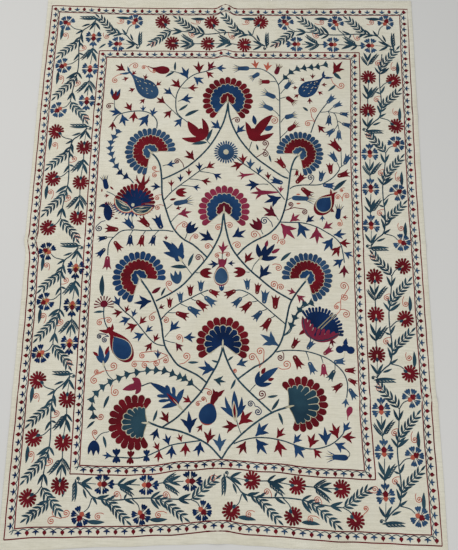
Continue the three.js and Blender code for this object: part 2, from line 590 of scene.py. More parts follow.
def buds(rows):
    """Rows: x and y of the place where it is joined, the way it points, its length, kind, thread."""
    for x, y, aim, length, kind, colour in read(rows):
        KINDS[kind](Spot(x, y, aim + chance.uniform(-3, 3)), length, colour)


COIL_TURNS = 1.6
COIL_CLOSES = 0.86  # share of its radius by which a coil has closed at its end


def tendril(start, middle, radius, side, colour, wide):
    """A thin stem from its start to a coil round a middle; side 1 turns left, and -1 right."""
    start, middle = np.array(start, float), np.array(middle, float)
    away = start - middle
    far = max(math.hypot(*away), radius * 1.05)
    meet = math.atan2(away[1], away[0]) + side * math.acos(radius / far)
    turns = np.linspace(0, 1, 26)
    angle = meet + side * turns * 2 * math.pi * COIL_TURNS
    size = radius * (1 - COIL_CLOSES * turns)
    coil_line = middle + np.stack([np.cos(angle), np.sin(angle)], 1) * size[:, None]
    gap = coil_line[0] - start
    bow = (start + coil_line[0]) / 2 - side * 0.12 * np.array([-gap[1], gap[0]])
    line = even(np.vstack([start[None], bow[None], coil_line]), 3.2)
    t = np.linspace(0, 1, len(line))
    stitching[colour].ribbon(line, wide / 2 * (0.75 + 0.35 * t), 0.7, 0, 3)
    tongue(colour, Spot(*coil_line[-1], 0), 0, 6, 5, leaf_shape, 0, 0.8, start=(-3, 0))


def spirals(rows):
    """Rows: x and y of the start, x and y of the coil's middle, its radius, the way round, thread."""
    for x, y, to_x, to_y, radius, way, colour in read(rows):
        wide = 3.7 if colour == "coral" else 4.6
        tendril((x, y), (to_x, to_y), radius, 1 if way == "left" else -1, colour, wide)


def fan(spot, radius, count, spread, colour, start, height, rise, fat=1.0, sharp=False, squash=0.0):
    """Petals side by side round a spot, over an angle to each side of the way it faces.

    Squash is the share by which a petal that points sideways is shorter.
    """
    pitch = 2 * spread / (count - 1)
    for k in range(count):
        aim = -spread + k * pitch
        reach = radius * (1 - squash * math.sin(math.radians(aim)) ** 2)
        long = (reach - start) * (1 + 0.025 * math.sin(k * 2.4))
        width = 2 * reach * 0.9 * math.tan(math.radians(pitch / 2)) * fat
        end = min(0.5, width / 2 / long) * (1.6 if sharp else 1)

        def petal_shape(t):
            grow = (start + t * long) / (start + (1 - end) * long)
            tip = np.clip((t - 1 + end) / end, 0, 1)
            return np.minimum(grow, 1) * (1 - tip**1.4 if sharp else np.sqrt(1 - tip**2))

        tongue(colour, spot, aim, long, width, petal_shape, 0, height, rise, polar(start, aim))


def arc_band(spot, radius, spread, wide, colour, height, rise):
    """A curved band round a spot, which joins petals at their feet."""
    angle = np.radians(np.linspace(-spread, spread, max(8, int(spread * radius / 250))))
    line = spot.put(np.stack([np.cos(angle), np.sin(angle)], 1) * radius)
    stitching[colour].ribbon(line, np.full(len(line), wide / 2), height, rise, 5)


# The straight edge of a blossom: places across it as shares of its half width, and how far each bows.
EDGE_BOW = [(-1, -12), (-0.5, -4), (0, 2), (0.5, -4), (1, -12)]


def palmette(x, y, aim, radius, outer, inner, heart, petals, spread, back=0.0, inside=0.69):
    """A great fan-shaped blossom: a ring of round petals, a smaller fan in front and one at its heart.

    Where back is not 0, the inner fan starts that far behind the middle, on the blossom's straight edge.
    """
    spot = Spot(x, y, aim)
    small = radius * inside
    squash = 0.4 if back else 0
    few = back or not heart
    fan(spot, radius + 1.2, petals, spread, "olive", radius * 0.55, 0.3, 0, 1.08)
    fan(spot, radius, petals, spread, outer, radius * 0.48, 0.6, 0.15, 0.95)
    arc_band(spot, radius * 0.59, spread, radius * 0.22, outer, 0.35, 0.6)
    inner_spot = spot.ahead(-back)
    count = 11 if few else petals - 2
    near = 76 if back else spread * 0.98
    fan(inner_spot, small + 2, count, near, "cream", small * 0.3, 0.4, 1.1, 1.08, squash=squash)
    fan(inner_spot, small, count, near, inner, 2, 0.5, 1.35, 0.86 if few else 0.92, squash=squash)
    if heart:
        arc_band(inner_spot, small * 0.5, near + 1, small * 0.28, inner, 0.3, 1.75)
        fan(spot, radius * 0.325, 7, 112, "cream", 3, 0.4, 2.1, 1.06)
        fan(spot, radius * 0.3, 7, 112, heart, 1, 0.5, 2.35, 0.94)
    else:
        arc_band(inner_spot, small * 0.33, near, small * 0.54, inner, 0.3, 1.75)
    if back:
        edge = [spot.put((-back - bow, across * radius * 0.62)) for across, bow in EDGE_BOW]
        stem(edge, 3, "olive", 1, 0.6, 0.8)
    tongue("cream", spot.ahead(-back + radius * 0.16), 180, radius * 0.34, 5.5, leaf_shape, 0, 0.6, 2.8)


def disc(colour, x, y, radius, height, rise=0.0):
    tongue(colour, Spot(x, y, 0), 0, 2 * radius, 2 * radius, round_shape, 0, height, rise, (-radius, 0), 1.3)


LARGE_PETAL = 22  # petals wider than this lie flatter


def petal(colour, foot, tip, width, curl, shape, rise=0.0):
    """A stitched shape from its foot to its tip, bowed by the angle that it turns through."""
    gap = np.array(tip, float) - np.array(foot, float)
    half_turn = math.radians(curl) / 2
    length = math.hypot(*gap) * (half_turn / math.sin(half_turn) if curl else 1)
    height = 0.5 if width > LARGE_PETAL else 0.9
    tongue(colour, Spot(*foot, facing(gap) - curl / 2), 0, length, width, shape, curl, height, rise, fine=1.3)


def petals(rows):
    """Rows: thread, x and y of the foot, x and y of the tip, width, turn, shape, how far it is raised."""
    for colour, x, y, to_x, to_y, width, curl, shape, rise in read(rows):
        petal(colour, (x, y), (to_x, to_y), width, curl, SHAPES[shape], rise)


def dashes(spot, length, wide):
    """Short pale stitches scattered over a shape that lies forward of a spot."""
    for k in range(15):
        forward = length * (0.1 + 0.56 * k / 14)
        left = wide * 0.34 * math.sin(k * 2.3) * (1 - 0.5 * k / 14)
        tongue("cream", spot, 18 * math.sin(k * 1.7), 8, 2, leaf_shape, 0, 0.4, 1.0, (forward, left))


def carnation(spot, radius):
    """A round red flower of narrow petals, open where its stem comes in from behind."""
    count = 13
    for k in range(count):
        aim = -150 + k * 300 / (count - 1)
        long = radius * (0.9 + 0.1 * math.cos(math.radians(aim) / 2) + 0.03 * math.sin(k * 2.1))
        tongue("olive", spot, aim, long + 1, radius * 0.3, comb_shape, 0, 0.35, 0)
        tongue("red", spot, aim, long, radius * 0.27, comb_shape, 5, 0.7, 0.25)
    fan(spot, radius * 0.6, 9, 144, "red", 1, 0.5, 0.5)
    tongue("cream", spot, 180, radius * 0.34, 4.5, leaf_shape, 0, 0.5, 1.1, (radius * 0.12, 0))
    tongue("teal", spot, 180, radius * 0.5, radius * 0.36, leaf_shape, 0, 0.9, 0.5, (-radius * 0.26, 0))


def cleft_petal(spot, aim, foot, length, colour, tips=(-1, 0, 1)):
    """A broad petal whose edge is cut into rounded tips, with a pale stitch at its foot."""
    place = polar(foot, aim)
    for way in tips:
        long = length * (0.96 if abs(way) > 1 else 1)
        tongue(colour, spot, aim + way * 15, long, length * 0.4, lobe_shape, way * 26, 0.75, 0, place)
    tongue("cream", spot, aim, length * 0.42, 3, leaf_shape, 0, 0.4, 0.75, place)


def cornflower(spot, radius, colour, accent, great):
    """A blue flower of cleft petals round a two-coloured middle; its stem comes from behind."""
    if great:
        for aim in (-118, -60, 60, 118):
            cleft_petal(spot, aim, radius * 0.3, radius * 0.74, colour)
        cleft_petal(spot, 0, radius * 0.52, radius * 0.82, colour, (-1.2, 0, 1.2))
    else:
        for aim in (-126, -75, -26, 26, 75, 126):
            cleft_petal(spot, aim, radius * 0.3, radius * 0.74, colour, (-0.8, 0, 0.8))
    tongue("coral", spot, 180, radius * 0.56, radius * 0.52, leaf_shape, 0, 0.9, 0.5, (radius * 0.06, 0))
    if accent == "ochre":
        for aim in (-90, 90, -35, 35):
            tongue(accent, spot, aim, radius * 0.42, radius * 0.2, leaf_shape, 0, 0.7, 0.4)
    tongue("red", spot, 0, radius * 0.68, radius * 0.6, leaf_shape, 0, 0.95, 0.6, (-radius * 0.1, 0))


def sawn_leaf(spot, length, colour):
    """A long leaf with teeth along its right side."""
    tongue(colour, spot, 8, length, length * 0.15, leaf_shape, -16, 0.9)
    for k in range(5):
        place = (length * (0.16 + 0.15 * k), -length * 0.03)
        tongue(colour, spot, -34, length * 0.25, length * 0.1, spear_shape, 20, 0.8, start=place)


# The two guard bands. Each has four sides; rows give the place along a side and where its outer
# line lies. The inner line runs inside it, at the band's width on that side.
OUTER_GUARD = {
    "left": ([(-975, -705), (-250, -700), (-50, -703), (20, -713), (600, -710), (975, -703)], 31),
    "right": ([(-975, 708), (-550, 701), (-200, 697), (250, 693), (700, 697), (973, 701)], 32),
    "top": ([(-703, 975), (-350, 967), (-60, 968), (-18, 981), (25, 968), (700, 973)], 28),
    "bottom": ([
        (-706, -977), (-602, -968), (-343, -963), (-177, -955),
        (-5, -939), (98, -951), (398, -967), (707, -974),
    ], 31),
}
INNER_GUARD = {
    "left": ([(-777, -506), (0, -510), (400, -510), (781, -504)], 30),
    "right": ([(-777, 502), (-550, 494), (-200, 491), (250, 492), (781, 504)], 35),
    "top": ([(-505, 779), (-60, 780), (-18, 787), (25, 780), (504, 781)], 28),
    "bottom": ([
        (-507, -773), (-343, -775), (-260, -772), (-127, -756),
        (-5, -748), (140, -757), (340, -772), (503, -777),
    ], 27),
}
# From one bud to the next along each side, and the width of the guards' red lines and of their vine.
GUARD_PITCH = {"left": 26, "right": 25, "top": 28.3, "bottom": 29}
GUARD_LINE = 4.6
GUARD_VINE = 3.4
UPRIGHT = ("left", "right")
INWARD = {"left": 1, "right": -1, "top": -1, "bottom": 1}
OUTWARD_AIM = {"left": 180, "right": 0, "top": 90, "bottom": -90}


def blue_of_guard(place):
    """The blue of a guard's buds: slate above and to the right, navy below on the left."""
    return "slate" if place[1] > 300 or place[0] > 0 else "navy"


class Band:
    """A guard band: finds its lines, wherever the cloth has drawn them."""

    def __init__(self, sides):
        self.sides = sides

    def line(self, side, along, inside):
        """How far out a line lies: the outer one, and in from it by a share of the band's width."""
        rows, wide = self.sides[side]
        return eased(rows, along) + INWARD[side] * wide * inside

    def corner(self, upright, level, inside):
        x, y = self.line(upright, 0, inside), self.line(level, 0, inside)
        for _ in range(4):
            x, y = self.line(upright, y, inside), self.line(level, x, inside)
        return float(x), float(y)

    def side_line(self, side, inside, spacing):
        if side in UPRIGHT:
            ends = self.corner(side, "bottom", inside)[1], self.corner(side, "top", inside)[1]
        else:
            ends = self.corner("left", side, inside)[0], self.corner("right", side, inside)[0]
        along = np.linspace(*ends, int((ends[1] - ends[0]) / spacing) + 2)
        out = self.line(side, along, inside)
        return np.stack([out, along] if side in UPRIGHT else [along, out], 1)


def guard_bud(spot, colour):
    """A small bud on a guard's vine: round if it is red, three-tipped if not."""
    if colour == "red":
        tongue("red", spot, 0, 12.5, 14.5, round_shape, 0, 0.9, 0, (0.5, 0), 1.3)
        tongue("red", spot, 0, 6, 8, horn_shape, 0, 0.7, 0, (10.5, 0))
    else:
        tongue(colour, spot, 0, 16, 8, spear_shape, 0, 0.8, fine=1.3)
        tips(colour, spot, (-1, 1), 34, 13, 7, spear_shape, 60, 0.8, 1, 1, 1.3)


def guard_band(band):
    """Two red lines with a scalloped vine between them, which carries red and blue buds in turn."""
    for side in ("left", "right", "top", "bottom"):
        for inside in (0, 1):
            line = band.side_line(side, inside, 16)
            line[:, 0 if side in UPRIGHT else 1] += 0.5 * np.sin(np.arange(len(line)) * 0.9 + inside)
            stitching["red"].ribbon(line, np.full(len(line), GUARD_LINE / 2), 0.8, 0, 3)
        path = band.side_line(side, 0.5, 1)
        wide = band.sides[side][1]
        count = 2 * int(round(len(path) / GUARD_PITCH[side] / 2))
        pitch = len(path) / count
        inward = np.array(polar(1, OUTWARD_AIM[side] + 180))
        steps = np.linspace(0, len(path) - 1, count * 6 + 1)
        base = np.stack([np.interp(steps, np.arange(len(path)), path[:, k]) for k in (0, 1)], 1)
        scallops = np.abs(np.sin(np.linspace(0, count * math.pi, len(steps))))
        base = base + inward[None, :] * (wide * (0.19 + 0.19 * scallops))[:, None]
        stitching["teal"].ribbon(base, np.full(len(base), GUARD_VINE / 2), 0.7, 0, 3)
        for k in range(count):
            middle = path[int((k + 0.98) * pitch) % len(path)]
            spot = Spot(*(middle + inward * wide * 0.2), OUTWARD_AIM[side] + chance.uniform(-6, 6))
            guard_bud(spot, "red" if k % 2 else blue_of_guard(middle))


# The border between the guards is the same spray of stems, laid nose to tail round the cloth. The
# spray is drawn with s along the way it grows and t in from the outer guard, in a border as wide
# as SPRAY_WIDE. SNUG is how far each side's spray fills its own border.
SPRAY_WIDE = 167
SNUG = {"left": 0.98, "right": 0.95, "top": 0.94, "bottom": 0.95}
GROWTH = {"left": -1, "bottom": 1, "right": 1, "top": -1}
GROWTH_AIM = {"left": -90, "bottom": 0, "right": 90, "top": 180}
outer_band = Band(OUTER_GUARD)
inner_band = Band(INNER_GUARD)


class Side:
    """Places on one side of the border: s along its growth, t from the outer guard inward."""

    def __init__(self, side, start, scale):
        self.side, self.start, self.scale = side, start, scale

    def place(self, s, t):
        along = self.start + GROWTH[self.side] * s * self.scale
        out = outer_band.line(self.side, along, 1) + INWARD[self.side] * t * self.room(along)
        return (out, along) if self.side in UPRIGHT else (along, out)

    def room(self, along):
        """The border's width here, as a share of the width that the spray is drawn for."""
        gap = abs(inner_band.line(self.side, along, 0) - outer_band.line(self.side, along, 1))
        return float(gap) / SPRAY_WIDE * SNUG[self.side]

    def spot(self, s, t, aim):
        x, y = self.place(s, t)
        return Spot(float(x), float(y), GROWTH_AIM[self.side] + aim)

    def path(self, points):
        return [self.place(s, t) for s, t in points]

    def toward(self, s, t, to_s, to_t):
        """A spot at one place that faces another, and how far that is."""
        here, there = np.array(self.place(s, t), float), np.array(self.place(to_s, to_t), float)
        return Spot(*here, facing(there - here)), float(np.hypot(*(there - here)))


def frond(side, path, pairs):
    """A stem with leaves in pairs that slant forward, longest near its foot."""
    points = np.array(side.path(path), float)
    line = smooth_line(points, 4)
    stem(points, 3.4)
    for k in range(pairs):
        at = int((0.1 + 0.82 * k / (pairs - 1)) * (len(line) - 2))
        aim = facing(line[at + 1] - line[at])
        for way in (-1, 1):
            spot = Spot(*line[at], aim + way * 42)
            tongue("teal", spot, 0, 31 - 0.7 * k, 8.6, leaf_shape, -way * 12, 0.8)
    tongue("teal", Spot(*line[-1], facing(line[-1] - line[-2])), 0, 24, 8, leaf_shape)


# Leaves of the spray: foot s and t, tip s and t.
LEAVES = [
    (22, 146, 58, 124), (22, 146, 57, 168), (30, 127, 42, 94), (57, 104, 76, 72),
    (75, 97, 108, 103), (112, 92, 134, 108), (158, 93, 191, 74), (158, 93, 166, 112),
    (240, 93, 268, 52), (240, 93, 270, 113), (325, 82, 360, 64), (325, 82, 364, 97),
    (135, 144, 186, 125), (135, 144, 162, 167), (295, 141, 332, 125), (292, 141, 332, 158),
    (46, 18, 102, 15), (238, 20, 294, 18), (150, 142, 196, 162),
]
SAWN_LEAVES = [(135, 144, 190, 104), (275, 141, 330, 99), (275, 141, 315, 171)]
# Coils of the spray: foot s and t, middle s and t.
COILS = [(98, 42, 80, 33), (148, 92, 134, 109), (292, 38, 266, 33), (300, 84, 286, 99), (452, 140, 432, 142)]
COIL_RADIUS = 11
CARNATION_RADIUS = 31
CORNFLOWER_RADIUS = 32
# The large flowers that follow one another: middle s and t.
CHAIN_FLOWERS = [(87, 144), (225, 140), (360, 139)]
# Side flowers: middle s and t, then where the stalk leaves the vine.
SIDE_FLOWERS = [(27, 35, 58, 96), (213, 38, 183, 92), (400, 36, 364, 78)]
# The vine that carries the side flowers: s and t of the places that it runs through.
VINE = [
    (12, 148), (28, 136), (45, 118), (60, 100), (95, 91), (135, 90),
    (185, 94), (235, 94), (285, 86), (325, 81), (362, 77),
]
# Fronds: s and t of the places that the stem runs through, and how many pairs of leaves it has.
FRONDS = [
    ([(75, 97), (110, 84), (145, 44), (168, 20)], 7),
    ([(246, 93), (282, 76), (318, 44), (345, 20)], 7),
    ([(362, 77), (390, 96), (415, 122), (440, 140)], 6),
]


def coil(side, foot_s, foot_t, s, t, radius=COIL_RADIUS, colour="coral", wide=3.4):
    tendril(side.place(foot_s, foot_t), side.place(s, t), radius, 1, colour, wide)


def border_flower(spot, flower, blue, accent, great):
    if flower == "carnation":
        carnation(spot, CARNATION_RADIUS)
    else:
        cornflower(spot, CORNFLOWER_RADIUS, blue, accent, great)


def spray(side, flower, blue, accent, until):
    """One spray of the border, as far along as there is room for it."""
    sawn_leaf(*side.toward(3, 160, 6, 82), "teal")
    coil(side, 2, 140, 11, 161, 6, "teal", 4)
    stem(side.path([(s, t) for s, t in VINE if s <= until]), 5.4)
    blooms = [(s, t) for s, t in CHAIN_FLOWERS if s <= until]
    stem(side.path([(12, 148), (40, 146), (blooms[0][0] - 18, 144)]), 3.2)
    for k, (s, t) in enumerate(blooms):
        if k + 1 < len(blooms):
            next_s, next_t = blooms[k + 1]
            stem(side.path([(s + 22, t), (s + 60, t + 1), (next_s - 20, next_t)]), 4)
        border_flower(side.spot(s, t, 0), flower, blue, accent, True)
    for s, t, foot_s, foot_t in SIDE_FLOWERS:
        if max(s, foot_s) <= until:
            spot, length = side.toward(foot_s, foot_t, s, t)
            stem([spot.put(point) for point in ((0, 0), (length * 0.45, 7), (length * 0.75, 2))], 4)
            bloom = side.spot(s, t, 0)
            bloom.angle = spot.angle
            border_flower(bloom, flower, blue, accent, False)
    for draw, rows in ((leaf, LEAVES), (sawn_leaf, SAWN_LEAVES)):
        for row in rows:
            if max(row[0], row[2]) <= until:
                draw(*side.toward(*row), "teal")
    for path, pairs in FRONDS:
        if path[-1][0] <= until:
            frond(side, path, pairs)
    for row in COILS:
        if max(row[0], row[2]) <= until:
            coil(side, *row)


# Where each spray starts: its side, the place along it, stretch, flower, blue thread, the flowers'
# accent, and how far along its own length there is room.
SPRAYS = [
    ("left", 925, 0.99, "cornflower", "slate", "coral", 470),
    ("left", 467, 1.0, "carnation", "blue", "coral", 470),
    ("left", 5, 0.97, "cornflower", "navy", "ochre", 470),
    ("left", -445, 1.01, "carnation", "blue", "coral", 445),
    ("bottom", -490, 1.06, "cornflower", "navy", "coral", 470),
    ("bottom", 0, 1.08, "carnation", "blue", "coral", 445),
    ("right", -915, 1.0, "cornflower", "slate", "coral", 470),
    ("right", -460, 1.0, "carnation", "blue", "coral", 470),
    ("right", 0, 1.01, "cornflower", "slate", "coral", 470),
    ("right", 450, 1.0, "carnation", "blue", "coral", 350),
    ("top", 640, 1.05, "cornflower", "slate", "coral", 470),
    ("top", 150, 1.03, "carnation", "blue", "coral", 470),
    ("top", -345, 1.0, "cornflower", "slate", "coral", 180),
]


def border():
    for side, start, scale, flower, blue, accent, until in SPRAYS:
        spray(Side(side, start, scale), flower, blue, accent, until)
    # The last sprays of the left side and of the bottom run on into their corners.
    left_end, bottom_end = Side(*SPRAYS[3][:3]), Side(*SPRAYS[5][:3])
    frond(left_end, [(404, 110), (419, 94), (444, 62), (462, 36)], 6)
    leaf(*left_end.toward(396, 150, 372, 158), "teal")
    stem(left_end.path([(438, 122), (447, 121), (455, 128)]), 3, "coral")
    coil(left_end, 455, 128, 444, 167, 12)
    coil(left_end, 455, 128, 468, 119, 12)
    coil(bottom_end, 440, 140, 462, 144, 12)
    coil(bottom_end, 402, 46, 432, 78, 9)


def stems(rows):
    """Rows: width, thread, then x and y of each place that the stem runs through."""
    for wide, colour, *places in read(rows):
        stem(np.reshape(places, (-1, 2)), wide, colour, 0.9 if wide > 4 else 0.75)


# The lattice of main stems, which carries the great blossoms: columns as stems() says.
LATTICE = """
7.2 teal -2 566 -3 548 -10 510 -25 465 -60 400 -100 350 -150 305 -200 275 -238 257
7.2 teal -2 566 0 548 5 510 20 465 50 410 100 350 150 310 200 275 225 265
7.2 teal -282 357 -265 340 -250 310 -242 260 -238 200 -228 160 -205 95 -185 60 -155 30 -120 10 -90 -15 -67 -37
7.2 teal 263 356 248 338 235 300 228 250 218 180 200 115 180 80 150 52 100 25 65 0 40 -27
7.2 teal -11 128 -14 110 -20 60 -40 10 -70 -40 -115 -95 -150 -135 -190 -165 -245 -195
7.2 teal -10 128 -9 110 0 60 15 10 40 -30 80 -75 120 -110 170 -150 230 -185
7.2 teal -303 -118 -290 -135 -265 -170 -250 -200 -235 -235 -222 -275 -215 -320 -205 -355
    -185 -385 -160 -415 -120 -435 -90 -450 -57 -475
7.2 teal 283 -118 265 -140 240 -175 225 -205 215 -250 205 -300 190 -340 165 -375 130 -405 100 -420 45 -460
7.2 teal -8 -352 -11 -370 -25 -410 -50 -455 -80 -505 -120 -550 -160 -590 -205 -620
7.2 teal -7 -352 -2 -370 10 -400 25 -430 50 -465 85 -500 130 -540 162 -568
7.2 teal -255 -605 -205 -622 -150 -632 -100 -650 -50 -675 -5 -718
7.2 teal 222 -547 165 -567 110 -600 60 -640 20 -680 -5 -718
"""

# The thinner stems, which carry the small flowers and leaves.
TWIGS = """
4.5 teal -175 500 -195 525 -200 570 -195 605 -180 635 -155 665 -125 685 -90 695 -50 710
3.8 teal -180 500 -215 535 -240 560
3.8 teal -150 482 -178 503
3.8 teal -225 695 -205 692 -165 680
3.8 teal -201 581 -209 589 -215 597
3.8 teal -192 569 -186 571 -180 575
3.8 teal -180 625 -168 624 -155 625
4.5 teal -268 458 -268 485 -280 505 -300 520 -330 527 -365 525 -400 517 -420 505 -432 485
3.8 teal -405 517 -430 540 -434 571
3.8 teal -88 421 -76 408 -65 395
3.8 teal -240 308 -232 311 -225 313
4.5 teal 196 404 195 483 195 583 192 633 184 654 172 675 147 696 122 708 80 710
3.8 teal 180 654 170 656 159 654
3.8 teal 192 577 186 581 180 588
3.8 teal 192 512 183 525 170 537
3.8 teal 199 604 206 615 215 625
3.8 teal 197 585 208 588 220 592
3.8 teal 199 487 205 497 213 506
3.8 teal 197 425 212 441 224 454
4.5 teal 311 446 322 479 334 508 355 542 374 567
3.8 teal 349 529 376 533 397 552
3.8 teal 376 533 400 525 409 504 413 483 417 458
3.8 teal 395 527 408 527 420 525
3.8 teal 378 532 381 525 382 517
3.8 teal 411 495 420 491 428 485
3.8 teal 412 480 408 471 401 462
3.8 teal 90 408 84 390 80 373
4.5 teal 22 354 59 321 82 304 113 281 147 254 180 222 211 183
3.8 teal 151 241 134 242 117 241
3.8 teal 231 283 222 294 214 305
4.5 teal -230 177 -203 208 -172 235 -140 260 -103 290 -78 306
3.8 teal -203 210 -205 219 -205 228
3.8 teal -171 234 -148 232 -126 229
3.8 teal -138 258 -116 257 -95 253
3.8 teal -101 288 -76 285 -51 280
3.8 teal -220 142 -209 152 -199 160
3.8 teal -203 92 -190 108 -176 123
3.8 teal -149 31 -144 43 -142 54
4.5 teal -192 58 -230 62 -292 60 -334 62 -378 58 -405 35 -418 17 -424 -4 -424 -33
3.8 teal -270 63 -275 69 -280 75
3.8 teal -338 60 -343 53 -346 44
3.8 teal -292 60 -297 52 -301 44
3.8 teal -245 60 -253 52 -259 44
3.8 teal -408 33 -418 34 -428 33
3.8 teal -442 206 -426 200 -409 190
3.8 teal -160 -48 -140 -74 -120 -100
3.8 teal -13 -20 -14 -30 -14 -42
3.8 teal -107 -92 -99 -93 -92 -92
4.5 teal 230 225 247 235 280 240 334 241 363 252 390 271 411 296 415 308
3.8 teal 415 308 410 320 405 331
3.8 teal 415 308 424 315 432 321
3.8 teal 422 312 422 340 422 373
3.8 teal 236 300 248 301 259 300
3.8 teal 220 181 228 186 236 190
4.5 teal 190 98 230 97 263 97 301 90 334 77 363 60 388 44 409 19 417 -12 422 -50
3.8 teal 188 104 184 112 180 119
3.8 teal 132 52 127 61 124 69
3.8 teal 120 -38 100 -62 90 -88
3.8 teal 84 -88 77 -88 70 -87
4.5 teal -426 -217 -426 -242 -420 -271 -407 -296
4.5 teal -372 -215 -349 -237 -326 -254 -301 -281 -280 -306 -255 -333 -234 -346 -209 -350
3.8 teal -415 -418 -399 -450 -380 -468
4.5 teal -224 -260 -201 -233 -159 -202 -122 -183 -88 -165 -61 -154
3.8 teal -88 -165 -81 -172 -74 -177
3.8 teal -122 -184 -112 -190 -103 -192
3.8 teal -157 -204 -144 -210 -132 -215
3.8 teal -201 -234 -187 -236 -174 -235
3.8 teal -209 -321 -201 -311 -192 -300
3.8 teal -209 -331 -190 -337 -172 -340
4.5 teal 209 -269 174 -240 145 -215 115 -190 88 -167 55 -153 34 -154
3.8 teal 80 -167 69 -173 57 -179
3.8 teal 113 -190 102 -193 92 -194
3.8 teal 147 -217 138 -222 128 -225
3.8 teal 174 -241 167 -246 159 -250
4.5 teal 205 -310 226 -296 236 -270 247 -237 263 -217 288 -202
4.5 teal 178 -367 197 -362 230 -360 280 -363 326 -375 363 -392 397 -421 413 -445 420 -477 415 -516
3.8 teal 280 -364 286 -379 290 -394
3.8 teal 330 -377 335 -390 338 -402
3.8 teal 378 -403 379 -414 378 -425
3.8 teal 295 -317 297 -325 284 -345
3.2 cream 415 -360 412 -373 409 -385
4.5 teal -282 -487 -253 -476 -242 -479
3.2 cream -138 -566 -150 -557 -159 -547
4.5 teal -78 -662 -122 -668 -172 -677 -205 -691 -247 -710 -276 -719 -313 -720 -372 -717 -395 -714
3.8 teal -428 -666 -411 -645 -384 -637
3.8 teal 43 -594 49 -614 59 -639
3.8 teal 107 -477 97 -487 86 -500
4.5 teal 34 -670 67 -658 105 -650 147 -650 176 -654 205 -660 234 -670 272 -681 305 -683
    342 -675 372 -660 397 -637 405 -622
3.8 teal 397 -672 420 -695 415 -708
"""

# Stems that carry a chain of buds, one at each place after the first: columns as stems() says.
CHAINS = """
4.5 teal -345 240 -361 258 -386 271 -403 294 -420 315 -428 340 -436 362 -438 385 -432 408 -420 431
4.5 teal 190 642 207 662 228 685 251 702 276 710 303 715 328 717 359 725
4.5 teal 205 -310 226 -287 236 -260 253 -233 267 -208 288 -200
4.5 teal -74 -506 -103 -483 -124 -468 -140 -460 -165 -450 -192 -439 -220 -435 -249 -433
    -286 -439 -320 -445 -347 -456 -376 -468 -403 -483 -424 -502 -442 -522 -447 -548 -442 -575
"""
# The threads of each chain's first buds; the last one goes on to the chain's end.
CHAIN_THREADS = [("navy", "navy", "slate"), ("teal",), ("teal",), ("teal",)]
CHAIN_BUD = 29


def chains():
    """The buds of the chains, each pointing the way its chain grows."""
    for (_, _, *places), threads in zip(read(CHAINS), CHAIN_THREADS):
        points = np.reshape(places, (-1, 2))[1:]
        steps = np.gradient(points, axis=0)
        for place, step, thread in zip(points, steps, threads + threads[-1:] * len(points)):
            arrowhead(Spot(*place, facing(step)), CHAIN_BUD, thread)


# The small flowers and leaves: columns as buds() says.
UPPER_LEFT_BUDS = """
-215 531 230 42 star red
-174 500 235 45 star blue
-240 560 145 42 star red
-215 597 140 42 star blue
-180 575 12 48 star blue
-155 625 0 40 star red
-184 625 132 50 star red
-157 665 115 55 star blue
-134 671 -35 48 star blue
-113 688 95 50 star red
-86 694 -40 38 star red
-80 700 60 45 star maroon
-49 710 -5 40 star blue
-188 531 38 44 leaf teal
-163 508 25 58 leaf teal
-207 697 92 38 leaf teal
-210 692 216 40 leaf teal
-372 677 50 24 star red
-322 657 80 26 star red
-278 633 40 27 star red
-385 665 200 26 star red
-358 620 205 28 star red
-318 578 225 28 star red
-400 695 145 45 star red
-367 527 120 42 star red
-355 523 -93 44 star red
-322 525 92 28 star blue
-288 506 75 38 star blue
-301 512 -125 58 star blue
-401 512 -75 50 star blue
-405 517 170 48 star blue
-434 483 -95 38 star red
-430 571 90 42 tulip red
-78 408 70 54 leaf teal
-78 403 188 58 leaf teal
-28 458 140 48 star blue
-124 333 130 50 star red
-225 312 10 36 star blue
-78 302 30 38 star red
-103 292 98 34 star navy
"""
UPPER_RIGHT_BUDS = """
80 710 182 68 thistle slate
105 710 100 38 star coral
146 700 80 40 star coral
118 690 215 48 thistle slate
180 685 70 50 thistle maroon
159 654 178 48 thistle red
180 588 152 62 thistle slate
170 537 150 60 thistle slate
215 625 50 50 thistle slate
220 592 -38 50 thistle red
213 506 15 52 thistle slate
224 454 38 55 thistle red
290 657 130 22 star red
321 668 85 24 star red
264 630 178 22 star red
268 603 215 24 star red
309 588 -90 26 star red
340 615 -30 24 star red
355 643 5 22 star red
400 690 55 65 star red
403 696 -42 40 broad teal
409 644 220 41 leaf teal
338 477 -50 40 star red
374 567 50 44 bell slate
397 552 25 39 bell slate
420 525 -10 37 bell slate
382 517 -95 42 bell slate
428 485 -15 39 bell slate
401 462 215 42 bell slate
417 458 -95 42 bell slate
301 533 140 26 broad teal
32 442 50 45 star blue
113 373 105 26 leaf teal
155 356 -78 30 leaf teal
59 321 95 40 star red
57 320 195 48 star red
84 302 85 40 star slate
114 279 75 35 star slate
100 281 190 66 trumpet pink
152 260 95 30 star red
117 241 185 52 star navy
195 210 80 28 star pink
188 211 184 104 trumpet pink
197 192 200 65 star navy
214 305 130 50 bell red
422 373 130 60 bell red
405 331 120 46 bell slate
432 321 65 46 bell slate
382 283 95 45 bell red
405 275 15 50 bell red
342 254 80 44 bell slate
"""
